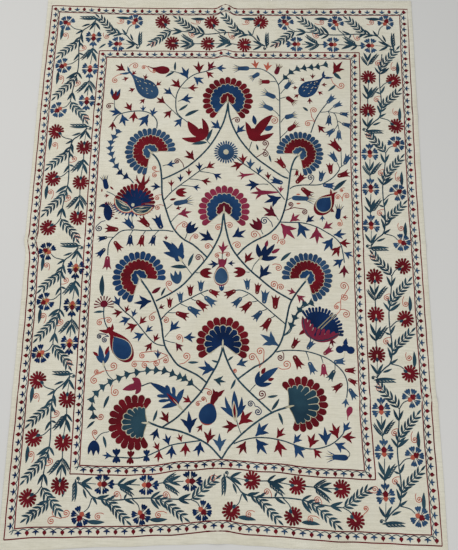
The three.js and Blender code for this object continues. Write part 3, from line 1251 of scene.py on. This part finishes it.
MIDDLE_LEFT_BUDS = """
-442 215 105 60 thistle navy
-460 204 90 14 broad red
-430 226 -40 18 broad red
-432 192 190 20 star red
-457 107 180 14 star red
-408 106 0 14 broad red
-245 226 178 38 star navy
-205 228 95 28 star red
-188 206 0 42 tulip red
-172 248 92 30 star navy
-126 229 -10 30 star blue
-142 271 92 30 star red
-95 253 -10 38 star red
-51 280 -30 36 star navy
-195 162 15 78 thistle slate
-209 178 12 24 broad red
-186 143 20 22 star red
-176 123 10 50 star pink
-142 54 50 48 tulip navy
-336 67 130 52 bell blue
-280 75 135 52 bell red
-234 67 115 58 bell navy
-346 44 -92 44 bell navy
-301 44 -97 46 bell red
-259 44 -105 42 bell navy
-390 62 175 52 bell red
-428 33 190 38 bell navy
-403 19 -55 45 bell red
-434 -8 225 42 bell navy
-424 -35 -93 52 bell pink
-217 25 90 20 star red
-138 -73 178 60 leaf teal
-134 -69 70 50 leaf teal
-92 -92 0 45 tulip red
-170 -133 100 50 tulip slate
-47 27 150 60 star navy
-13 -21 90 45 star pink
-27 -60 182 38 star navy
7 -57 0 26 star navy
-14 -157 90 22 tulip blue
"""
MIDDLE_RIGHT_BUDS = """
205 246 165 48 bell blue
180 119 145 60 star maroon
259 300 -100 28 bell red
253 246 50 48 bell red
351 241 -5 46 bell blue
272 229 -40 50 bell red
236 190 -5 90 thistle slate
253 204 0 16 broad coral
253 169 0 16 broad coral
230 100 40 45 star pink
288 98 40 40 star navy
347 125 -90 24 star blue
401 110 80 62 thistle navy
391 138 150 20 star red
420 119 0 20 star red
390 219 38 66 leaf teal
197 92 -50 75 star pink
261 96 -65 65 star blue
325 79 -92 62 star pink
349 75 35 42 star pink
386 52 5 46 star blue
382 40 235 58 star blue
405 23 -5 42 star red
409 10 230 48 star red
422 -12 -25 36 star blue
417 -37 215 45 star blue
421 -60 -95 45 star maroon
124 69 130 50 tulip maroon
22 40 30 55 star navy
67 -54 55 48 star red
70 -87 180 45 tulip red
120 -108 55 60 star navy
195 -46 42 50 leaf teal
"""
LOWER_LEFT_BUDS = """
-434 -181 92 76 leaf teal
-426 -235 188 36 leaf teal
-372 -215 120 42 star blue
-349 -237 75 28 star red
-324 -252 70 30 star blue
-361 -235 190 38 star red
-332 -257 200 42 star blue
-299 -277 50 36 star red
-307 -279 205 45 star red
-276 -304 40 32 star blue
-282 -310 205 42 star blue
-245 -337 65 32 star red
-253 -340 235 38 star red
-230 -394 95 32 star blue
-261 -167 35 38 broad maroon
-227 -177 65 34 leaf teal
-261 -196 185 62 star navy
-234 -221 30 24 star maroon
-196 -219 90 38 bell red
-157 -200 95 40 bell slate
-124 -177 92 42 bell red
-88 -160 90 42 bell slate
-59 -154 -25 42 bell red
-74 -177 -40 50 bell slate
-103 -192 -40 50 bell red
-132 -215 -30 52 bell slate
-174 -235 -18 50 bell red
-192 -300 50 48 star blue
-170 -340 -50 38 star maroon
-142 -321 5 42 star blue
-126 -405 2 37 leaf teal
-32 -429 170 60 star blue
-20 -404 165 26 leaf teal
"""
LOWER_RIGHT_BUDS = """
78 -152 95 42 bell slate
110 -167 80 42 bell red
135 -200 85 50 bell slate
174 -219 88 52 bell red
36 -154 205 46 bell red
57 -179 225 45 bell slate
92 -194 220 50 bell red
128 -225 225 45 bell slate
159 -250 235 52 bell red
184 -344 150 72 star slate
368 -317 -75 31 star maroon
232 -354 60 42 bell red
238 -377 -60 52 bell red
284 -356 50 38 bell slate
290 -398 -65 46 bell slate
340 -373 40 40 bell pink
339 -404 -90 45 bell pink
374 -398 5 42 bell slate
378 -425 240 42 bell teal
411 -425 0 40 bell red
403 -470 215 42 bell red
422 -454 -25 36 bell red
425 -485 -60 42 bell slate
413 -518 -95 32 star slate
431 -546 233 46 drop pink
285 -288 216 34 broad red
11 -398 38 24 leaf teal
42 -412 20 42 star slate
247 -160 160 32 star pink
251 -167 -40 38 star pink
"""
BOTTOM_LEFT_BUDS = """
-390 -520 246 46 leaf teal
-434 -604 225 36 leaf teal
-111 -539 150 36 star red
-36 -462 -8 42 star teal
-186 -606 125 46 star red
-238 -602 70 40 leaf teal
-113 -637 95 70 star navy
-222 -625 -110 42 star navy
-182 -677 110 38 star navy
-140 -666 115 28 star red
-171 -679 -92 44 star navy
-126 -670 -93 44 star red
-77 -666 -100 48 star navy
-215 -695 120 32 star red
-213 -695 -93 38 star red
-255 -712 0 40 ragged navy
-308 -718 0 44 ragged red
-355 -714 0 48 ragged navy
-372 -714 180 30 star blue
-432 -666 -92 50 tulip navy
-403 -652 -75 40 leaf teal
-72 -610 235 30 star red
-53 -670 80 50 star red
-11 -693 90 56 star slate
"""
BOTTOM_RIGHT_BUDS = """
45 -612 185 52 star red
51 -608 40 62 star red
38 -460 245 38 leaf teal
147 -517 6 36 leaf teal
161 -560 55 46 leaf teal
184 -568 -72 42 leaf teal
74 -662 -115 48 star red
107 -645 45 60 star blue
109 -654 -50 60 star blue
178 -650 55 42 star red
182 -656 -78 55 star red
234 -666 50 40 star blue
235 -670 -55 55 star blue
288 -679 70 50 star red
301 -683 -50 38 star red
342 -670 93 58 star blue
382 -648 110 52 star red
401 -627 55 40 star blue
397 -643 0 46 star red
372 -664 -25 45 star blue
415 -710 180 78 thistle blue
"""

# Tendrils that end in a coil: columns as spirals() says.
COILS_ABOVE = """
-385 712 -362 716 13 right coral
-410 680 -436 654 12 left coral
-308 702 -328 710 9 left coral
-308 702 -288 695 8 left coral
-436 556 -453 546 11 left maroon
-161 302 -187 327 11 left maroon
-251 287 -270 300 9 right coral
-251 287 -268 272 10 left coral
390 675 430 642 14 left coral
328 490 324 537 13 right coral
328 490 301 483 12 left coral
163 510 174 494 15 right coral
8 487 34 494 12 right maroon
103 344 140 402 13 left maroon
130 379 140 360 12 right maroon
"""
COILS_MIDDLE = """
-440 96 -461 67 13 left navy
-235 194 -255 184 10 left coral
-231 155 -252 147 10 left coral
-186 62 -153 83 13 right coral
-132 21 -111 40 11 right coral
-80 -50 -99 -37 12 left maroon
-49 -4 -67 4 11 left coral
-14 85 -30 75 11 left coral
-6 85 11 83 12 right coral
-13 -22 -32 -29 9 left coral
-13 -22 5 -25 9 right coral
301 242 307 269 13 left navy
211 142 232 165 10 left maroon
211 142 282 137 11 right maroon
411 112 409 94 10 right coral
422 179 405 195 10 left coral
422 179 437 200 12 right coral
432 230 420 221 7 left coral
167 79 137 102 15 left navy
122 40 101 50 15 left coral
22 12 40 10 13 right coral
182 17 174 40 13 left coral
182 17 201 23 12 right coral
165 -60 186 -71 13 right coral
"""
COILS_BELOW = """
-422 -260 -438 -273 11 left coral
-422 -260 -407 -265 11 right coral
-403 -321 -436 -321 9 left navy
-403 -321 -417 -333 10 left navy
-411 -435 -382 -421 14 left coral
-411 -439 -445 -470 13 left coral
-415 -437 -438 -441 9 right coral
-188 -162 -200 -133 12 right coral
-242 -233 -255 -254 12 left coral
-222 -252 -207 -262 11 right coral
-147 -337 -159 -321 11 left coral
-155 -412 -132 -385 14 left coral
-196 -383 -284 -385 11 left coral
-304 -404 -309 -415 11 left coral
-260 -405 -274 -417 11 left coral
-225 -398 -236 -410 10 right coral
-199 -386 -203 -400 10 right coral
434 -142 417 -133 14 left coral
417 -167 420 -173 13 left coral
405 -190 390 -208 9 left coral
403 -217 422 -233 14 right coral
199 -365 192 -385 12 right maroon
120 -421 122 -365 14 left coral
120 -421 95 -385 14 left coral
184 -419 213 -408 16 left coral
25 -425 35 -431 8 left coral
182 -147 170 -131 13 left coral
182 -147 195 -140 12 right coral
-380 -485 -370 -508 14 left coral
-438 -583 -415 -589 11 left coral
-426 -664 -431 -641 10 right coral
-60 -537 -70 -527 8 left coral
-76 -535 -88 -543 8 left coral
-70 -493 -51 -506 10 right coral
105 -548 90 -541 11 left navy
105 -548 115 -566 13 right navy
115 -525 128 -508 14 left maroon
"""

# Small coral scrolls: columns as stems() says.
SCROLLS = """
3.2 coral -199 -383 -222 -396 -255 -406 -284 -404 -313 -404
3.2 coral 434 -142 417 -167 405 -183 403 -217 384 -240
"""


# Fruits, large tulips and the like: columns as petals() says.
BOTEHS = """
slate -272 588 -388 698 84 -14 boteh 0
slate -384 688 -392 714 10 20 spear 0.1
slate -378 688 -421 682 11 -20 spear 0.1
blue 268 604 370 684 74 22 boteh 0
red -228 700 -313 715 40 -34 boteh 0
blue 360 674 367 703 10 -16 spear 0.1
blue 360 674 402 675 11 16 spear 0.1
"""
PEARS = """
red 323 132 395 212 76 8 pear 0
red 380 200 379 226 10 20 spear 0.1
red 382 200 404 214 10 -20 spear 0.1
cream 331 142 381 199 56 8 pear 0.8
blue 333 145 378 195 51 8 pear 1.25
red -323 -404 -400 -296 82 -6 pear 0
red -380 -328 -408 -290 19 -6 dome 0.2
red -392 -304 -440 -299 15 -20 spear 0.1
red -396 -306 -393 -276 13 24 spear 0.1
cream -330 -395 -387 -318 62 -6 pear 0.8
blue -332 -393 -386 -320 58 -6 pear 1.25
coral -62 -612 -40 -539 66 -12 egg 0
blue -61 -608 -41 -543 60 -12 egg 0.8
red -46 -556 -22 -502 26 -12 lobe 0.1
red -32 -522 -39 -492 12 30 spear 0.2
red -24 -522 2 -496 15 -30 spear 0.2
pink -16 -92 -14 -42 26 0 dome 0
pink -20 -70 -28 -37 14 24 spear 0.1
pink -10 -70 4 -37 14 -24 spear 0.1
pink -16 -139 -16 -64 64 0 egg 0
cream -16 -134 -16 -71 51 0 egg 0.8
slate -16 -131 -16 -74 46 0 egg 1.25
"""
TULIPS = """
red -86 420 -99 500 27 48 leaf 0
red -98 424 -152 488 33 -24 leaf 0.2
red -90 421 -173 420 24 -42 leaf 0.1
red -84 419 -116 450 44 0 dome 0.3
red 86 416 66 488 27 24 leaf 0
red 96 418 168 516 38 -28 leaf 0.1
red 94 418 172 444 26 36 leaf 0
red 93 411 109 459 44 0 dome 0.3
blue 103 476 95 514 18 0 leaf 0
blue 138 455 170 471 22 0 leaf 0
blue -165 -44 -229 23 26 24 leaf 0.1
blue -164 -42 -197 17 20 8 leaf 0
blue -160 -42 -159 19 22 -20 leaf 0.1
blue -168 -42 -225 -21 20 34 leaf 0
blue -159 -48 -181 -17 36 0 dome 0.3
cream -156 -54 -171 -33 9 0 leaf 1.3
navy 126 -38 112 16 20 -26 leaf 0.1
navy 127 -38 143 14 18 0 leaf 0.2
navy 127 -38 174 16 20 12 leaf 0.1
navy 125 -38 183 -30 19 28 leaf 0
navy 123 -40 141 -18 28 0 dome 0.3
cream 118 -42 130 -28 9 0 leaf 1.3
pink 141 3 148 29 13 0 leaf 0.1
pink 162 -17 192 -1 14 10 leaf 0.1
blue -417 -414 -433 -350 19 -10 leaf 0.1
blue -415 -414 -399 -368 15 14 leaf 0.1
blue -419 -412 -444 -382 14 -10 leaf 0
red -412 -384 -401 -354 11 0 leaf 0.4
red -436 -388 -455 -374 10 0 leaf 0.4
cream -414 -426 -418 -403 7 0 leaf 1.2
blue 40 -590 34 -498 22 0 leaf 0.2
blue 38 -588 4 -518 15 -34 leaf 0.1
blue 42 -588 60 -518 15 34 leaf 0.1
blue 38 -588 -12 -552 16 26 leaf 0
blue 42 -588 75 -544 16 -26 leaf 0
cream 40 -600 33 -531 16 0 leaf 1.0
red 38 -588 34 -538 11 0 leaf 1.4
blue 110 -478 184 -419 25 -14 leaf 0.2
blue 110 -477 120 -432 17 -20 leaf 0.1
blue 112 -478 162 -471 15 22 leaf 0.1
red 127 -441 140 -420 13 0 leaf 0.2
red 149 -462 170 -456 11 0 leaf 0.2
blue -170 -526 -253 -476 21 16 leaf 0.2
blue -180 -520 -198 -483 15 0 lobe 0.1
blue -167 -526 -174 -488 14 0 lobe 0
blue -157 -542 -136 -495 20 -34 leaf 0
blue -178 -521 -228 -518 13 0 lobe 0
blue -172 -531 -222 -536 12 0 lobe 0
blue -156 -545 -211 -559 17 22 leaf 0
blue -157 -548 -184 -514 29 0 dome 0.3
red -151 -550 -195 -509 12 0 leaf 0.8
cream -139 -563 -174 -528 5 0 leaf 1.4
pink -283 -484 -346 -500 25 6 leaf 0.1
pink -286 -478 -316 -461 20 24 leaf 0
pink -286 -488 -302 -514 18 -24 leaf 0
pink -282 -483 -310 -486 30 0 dome 0.2
blue -442 588 -447 621 13 -10 spear 0.5
blue -426 588 -414 619 13 10 spear 0.5
navy 417 -346 421 -316 17 -30 spear 0.2
"""

# The lotus: its two curled leaves with their veins, and its crown.
LOTUS_LEAVES = """
coral -346 132 -412 182 36 -44 leaf 1.0
cream -347 134 -410 181 31 -44 leaf 1.45
teal -350 136 -407 178 26 -44 leaf 1.9
cream -358 150 -398 172 3.4 -30 leaf 2.5
cream -362 142 -386 150 2.6 -20 leaf 2.4
cream -372 158 -384 172 2.6 -20 leaf 2.4
coral -348 138 -268 148 34 44 leaf 1.0
cream -346 139 -270 148 29 44 leaf 1.45
teal -343 140 -274 148 24 44 leaf 1.9
cream -334 139 -286 142 3.4 34 leaf 2.5
cream -328 132 -306 128 2.6 20 leaf 2.4
cream -320 144 -300 150 2.6 20 leaf 2.4
red -314 212 -306 279 13 0 spear 1.0
red -316 214 -342 254 10 80 spear 1.0
red -310 214 -284 252 10 -80 spear 1.0
red -316 232 -334 272 8 -60 spear 1.0
red -310 232 -288 268 8 60 spear 1.0
"""


# The crescent of the fan flower: its two long leaves and the fingers along its inner edge.
CRESCENT = """
pink 312 -322 270 -242 26 -40 leaf 0.9
pink 300 -318 400 -300 26 34 leaf 0.9
pink 278 -292 283 -248 10 -10 lobe 1.2
pink 284 -300 295 -254 10 -8 lobe 1.2
pink 292 -308 305 -268 10 -6 lobe 1.2
pink 301 -315 315 -280 11 -4 lobe 1.2
pink 314 -319 329 -284 11 0 lobe 1.2
pink 328 -322 345 -285 12 4 lobe 1.2
pink 342 -321 362 -288 12 6 lobe 1.2
pink 357 -318 381 -295 11 8 lobe 1.2
"""


def rosettes():
    """The round blue flower, and a half flower of thin petals at the left edge."""
    disc("slate", -6, 365, 30, 0.8, 0.3)
    disc("cream", -6, 365, 10, 0.5, 1.2)
    fan(Spot(-6, 365, 0), 46, 26, 173, "slate", 20, 0.8, 0, 0.7, sharp=True)
    fan(Spot(-427, -214, 92), 36, 11, 100, "maroon", 6, 0.8, 0, 0.5)
    disc("maroon", -427, -208, 13, 0.8, 0.1)


def on_oval(middle, wide, high, degrees):
    """A place on an oval round a middle, given by its two half sizes and an angle."""
    x, y = polar(1, degrees)
    return (middle[0] + wide * x, middle[1] + high * y)


def lotus():
    """Two fans over a fringe, with two curled leaves in front and a crown."""
    fan(Spot(-338, 162, 88), 76, 17, 96, "red", 26, 0.8, 0)
    for k in range(17):
        aim = 184 + k * 172 / 16
        foot, tip = on_oval((-341, 156), 34, 14, aim), on_oval((-341, 156), 80, 46, aim)
        petal("blue", foot, tip, 15, 10, spear_shape)
    fan(Spot(-334, 160, 88), 62, 9, 72, "navy", 4, 0.8, 0.5, 1, sharp=True)
    petal("navy", (-341, 134), (-336, 182), 86, 0, dome_shape, 0.2)
    disc("cream", -343, 156, 6, 0.5, 1.5)
    petals(LOTUS_LEAVES)
    stem([(-346, 122), (-343, 96), (-336, 68)], 3.2)


def curled_seed():
    """The curled seed at the left edge, with its red fringe."""
    petal("navy", (-429, 96), (-443, 168), 38, 16, pear_shape)
    petal("navy", (-436, 146), (-467, 146), 17, 96, spear_shape)
    for k in range(11):
        aim = -34 + k * 15
        foot = on_oval((-434, 130), 16, 26, aim)
        petal("red", foot, on_oval(foot, 13, 13, aim), 5.5, 8, spear_shape)


def fan_flower():
    """The fan flower on the right, in its crescents."""
    spot = Spot(322, -298, 60)
    fan(spot, 90, 17, 65, "navy", 4, 0.6, 0, 0.95)
    arc_band(spot, 42, 64, 60, "navy", 0.35, 0.4)
    for foot, tip in (((322, -284), (376, -232)), ((333, -286), (386, -236))):
        stem([foot, ((foot[0] + tip[0]) / 2, (foot[1] + tip[1]) / 2), tip], 3, "olive", 1, 0.5, 1.0)
    disc("navy", 322, -299, 20, 0.4, 0.3)
    petals(CRESCENT)
    rib = [(270, -244), (279, -290), (298, -316), (326, -326), (366, -317), (404, -298)]
    stem(rib, 3, "teal", 1, 0.7, 1.7)


def special_motifs():
    for rows in (BOTEHS, PEARS, TULIPS):
        petals(rows)
    dashes(Spot(-280, 597, 136), 140, 70)
    dashes(Spot(276, 610, 32), 110, 60)
    rosettes()
    lotus()
    curled_seed()
    # A fruit of three round parts.
    for x, y, radius in ((397, -355, 14), (434, -357, 14), (416, -349, 13)):
        disc("navy", x, y, radius, 0.9)
    fan_flower()


# The nine great blossoms: middle x and y, the way each faces, radius, its outer, inner and heart
# threads, how many outer petals it has, how far they reach round to each side, and for two of
# them how far back the inner fan starts and how large it is.
BLOSSOMS = [
    (-3, 575, 90, 96, "red", "blue", "red", 19, 138),
    (-288, 364, 132, 95, "slate", "red", "slate", 21, 125),
    (268, 362, 50, 88, "slate", "red", "slate", 21, 125),
    (-10, 140, 90, 94, "pink", "blue", "maroon", 17, 125),
    (-308, -112, 125, 95, "blue", "red", "blue", 19, 125),
    (288, -105, 55, 90, "slate", "red", "blue", 21, 125),
    (-7, -340, 90, 93, "red", "navy", None, 15, 118),
    (-298, -606, 178, 91, "red", "teal", None, 15, 118, 36, 0.9),
    (260, -538, 14, 91, "red", "teal", None, 15, 116, 38, 1.12),
]


def field():
    for rows in (LATTICE, TWIGS, CHAINS, SCROLLS):
        stems(rows)
    chains()
    for rows in (UPPER_LEFT_BUDS, UPPER_RIGHT_BUDS, MIDDLE_LEFT_BUDS, MIDDLE_RIGHT_BUDS):
        buds(rows)
    for rows in (LOWER_LEFT_BUDS, LOWER_RIGHT_BUDS, BOTTOM_LEFT_BUDS, BOTTOM_RIGHT_BUDS):
        buds(rows)
    for rows in (COILS_ABOVE, COILS_MIDDLE, COILS_BELOW):
        spirals(rows)
    for blossom in BLOSSOMS:
        palmette(*blossom)
    special_motifs()


def make_mesh(name, points, faces, mat):
    mesh = bpy.data.meshes.new(name)
    mesh.vertices.add(len(points))
    mesh.vertices.foreach_set("co", (np.asarray(points, float) * MM).ravel())
    mesh.loops.add(faces.size)
    mesh.loops.foreach_set("vertex_index", faces.ravel())
    mesh.polygons.add(len(faces))
    mesh.polygons.foreach_set("loop_start", np.arange(0, faces.size, 4))
    mesh.polygons.foreach_set("use_smooth", np.full(len(faces), True))
    mesh.update(calc_edges=True)
    mesh.materials.append(mat)
    piece = bpy.data.objects.new(name, mesh)
    bpy.context.scene.collection.objects.link(piece)
    return piece


def add_map(mesh, name, corners):
    mesh.uv_layers.new(name=name, do_init=False).uv.foreach_set("vector", np.asarray(corners, float).ravel())


def thread_piece(stitches, slot, light, dark):
    """Makes one mesh of all that is stitched in one thread."""
    points, faces = np.vstack(stitches.points), np.vstack(stitches.faces)
    name = stitches.colour + "_stitches"
    piece = make_mesh(name, points, faces, thread_material(stitches.colour + "_silk", light, dark))
    add_map(piece.data, "stitch", np.vstack(stitches.maps)[faces.ravel()])
    flat = points[:, :2] / (WIDTH, LENGTH) + 0.5
    add_map(piece.data, "OFBake", flat[faces.ravel()])
    return piece


def grid_lines(half, step, fine_step, creases, extra):
    """Places along one direction: close together over the creases, wider apart between them."""
    fixed = sorted([-half, half, *extra] + [at + way * wide for at, wide, _ in creases for way in (-1, 1)])
    lines = [fixed[0]]
    for low, high in zip(fixed[:-1], fixed[1:]):
        middle = (low + high) / 2
        creased = any(abs(middle - at) < wide for at, wide, _ in creases)
        pieces = max(1, round((high - low) / (fine_step if creased else step)))
        lines.extend(low + (high - low) * (k + 1) / pieces for k in range(pieces))
    return np.array(lines)


GRID_STEP = 10  # between the cloth's grid lines, and between those over its creases
CREASE_STEP = 5
EDGE_STRIP = 1.2  # width of the strip along the edge in which the cloth is rounded
EDGE_ROUND = 0.8  # how far the cloth's face drops at its edge, and how far its underside rises
EDGE_LIFT = 0.3
HEM_CREST = 2  # width of the strip beside a hem's fold, and of the slope down from it
HEM_SLOPE = 1.5
MAP_WIDE = 0.49  # width of each face in the map, and how far the underside is moved across
MAP_SHIFT = 0.505


def make_cloth():
    """The cotton itself: a thin closed sheet, folded over twice along both long sides."""
    left_hem, right_hem = -HALF_WIDTH + LEFT_HEM, HALF_WIDTH - RIGHT_HEM
    rim = [-HALF_WIDTH + EDGE_STRIP, left_hem - HEM_CREST, left_hem, left_hem + HEM_SLOPE]
    rim += [right_hem - HEM_SLOPE, right_hem, right_hem + HEM_CREST, HALF_WIDTH - EDGE_STRIP]
    ends = [-HALF_LENGTH + 1, HALF_LENGTH - 1]
    columns = grid_lines(HALF_WIDTH, GRID_STEP, CREASE_STEP, [LENGTHWISE_CREASE], rim)
    rows = grid_lines(HALF_LENGTH, GRID_STEP, CREASE_STEP, CROSSWISE_CREASES, ends)
    u, v = np.meshgrid(columns, rows)
    wide, long = len(columns), len(rows)
    left = -HALF_WIDTH + eased(LEFT_EDGE, v)
    right = HALF_WIDTH - eased(RIGHT_EDGE, v)
    bottom = -HALF_LENGTH + eased(BOTTOM_EDGE, u)
    top = HALF_LENGTH - eased(TOP_EDGE, u)
    x = left + (right - left) * (u + HALF_WIDTH) / WIDTH
    y = bottom + (top - bottom) * (v + HALF_LENGTH) / LENGTH
    hemmed = (u <= left_hem) | (u >= right_hem)
    rounded = (np.abs(u) > HALF_WIDTH - 0.5) | (np.abs(v) > HALF_LENGTH - 0.5)
    thick = np.where(hemmed, HEM_THICK, CLOTH_THICK) - np.where(rounded, EDGE_ROUND, 0)
    over = lift(x, y) + thick + unevenness(x, y)
    under = lift(x, y) + np.where(rounded, EDGE_LIFT, 0)
    points = np.vstack([np.stack([x, y, z], 2).reshape(-1, 3) for z in (over, under)])
    corner = np.arange(wide * long).reshape(long, wide)
    upper = np.stack([corner[:-1, :-1], corner[:-1, 1:], corner[1:, 1:], corner[1:, :-1]], 2).reshape(-1, 4)
    lower = upper[:, ::-1] + wide * long
    edge = np.concatenate([corner[0, :-1], corner[:-1, -1], corner[-1, :0:-1], corner[:0:-1, 0]])
    following = np.roll(edge, -1)
    side = np.stack([edge + wide * long, following + wide * long, following, edge], 1)
    faces = np.vstack([upper, lower, side])
    piece = make_mesh("cotton_cloth", points, faces, cloth_material())
    # The upper face is laid out on the left half of the map, and the underside on the right half.
    flat = points[faces.ravel(), :2] / (WIDTH, LENGTH) + 0.5
    flat[:, 0] *= MAP_WIDE
    flat[len(upper) * 4 :, 0] += MAP_SHIFT
    add_map(piece.data, "OFBake", flat)
    return piece


FLOOR_REACH = 6000
FLOOR_LEVEL = -1  # just under the cloth


def make_floor():
    mat, _, shader = material("pale_floor")
    shader.inputs["Base Color"].default_value = srgb(202, 198, 192)
    shader.inputs["Roughness"].default_value = 0.8
    square = ((-1, -1), (1, -1), (1, 1), (-1, 1))
    corners = np.array([(x * FLOOR_REACH, y * FLOOR_REACH, FLOOR_LEVEL) for x, y in square])
    make_mesh("floor", corners, np.array([[0, 1, 2, 3]]), mat)


# Lamps: name, place in metres, watts, and size in metres.
LAMPS = [("key", (-1.7, 0.9, 2.9), 56, 2.4), ("fill", (1.6, -1.9, 3.0), 47, 3)]


def light_scene():
    """Soft, even studio light, a little stronger from the upper left."""
    world = bpy.data.worlds.new("studio")
    bpy.context.scene.world = world
    world.use_nodes = True
    background = world.node_tree.nodes["Background"]
    background.inputs["Color"].default_value = (0.86, 0.93, 1, 1)
    background.inputs["Strength"].default_value = 0.54
    for name, place, power, size in LAMPS:
        light = bpy.data.lights.new(name, "AREA")
        light.energy = power
        light.size = size
        lamp = bpy.data.objects.new(name, light)
        lamp.location = place
        lamp.rotation_euler = mathutils.Vector(place).to_track_quat("Z", "Y").to_euler()
        bpy.context.scene.collection.objects.link(lamp)


def place_camera():
    lens = bpy.data.cameras.new("phone")
    lens.sensor_fit = "AUTO"
    lens.sensor_width = SENSOR_MM
    lens.lens = FOCAL_PIXELS * SENSOR_MM / PICTURE_HIGH
    lens.clip_end = 30
    camera = bpy.data.objects.new("phone", lens)
    camera.location = CAMERA_PLACE
    camera.rotation_euler = [math.radians(part) for part in CAMERA_TURN]
    bpy.context.scene.collection.objects.link(camera)
    bpy.context.scene.camera = camera


border()
field()
guard_band(outer_band)
guard_band(inner_band)

cloth = make_cloth()
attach(cloth, "root")
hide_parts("cloth")
threads = [thread_piece(stitching[colour], *THREADS[colour]) for colour in THREADS if stitching[colour].count]
for piece in threads:
    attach(piece, "root")

make_floor()
light_scene()
place_camera()
bpy.context.scene.view_settings.view_transform = "Standard"
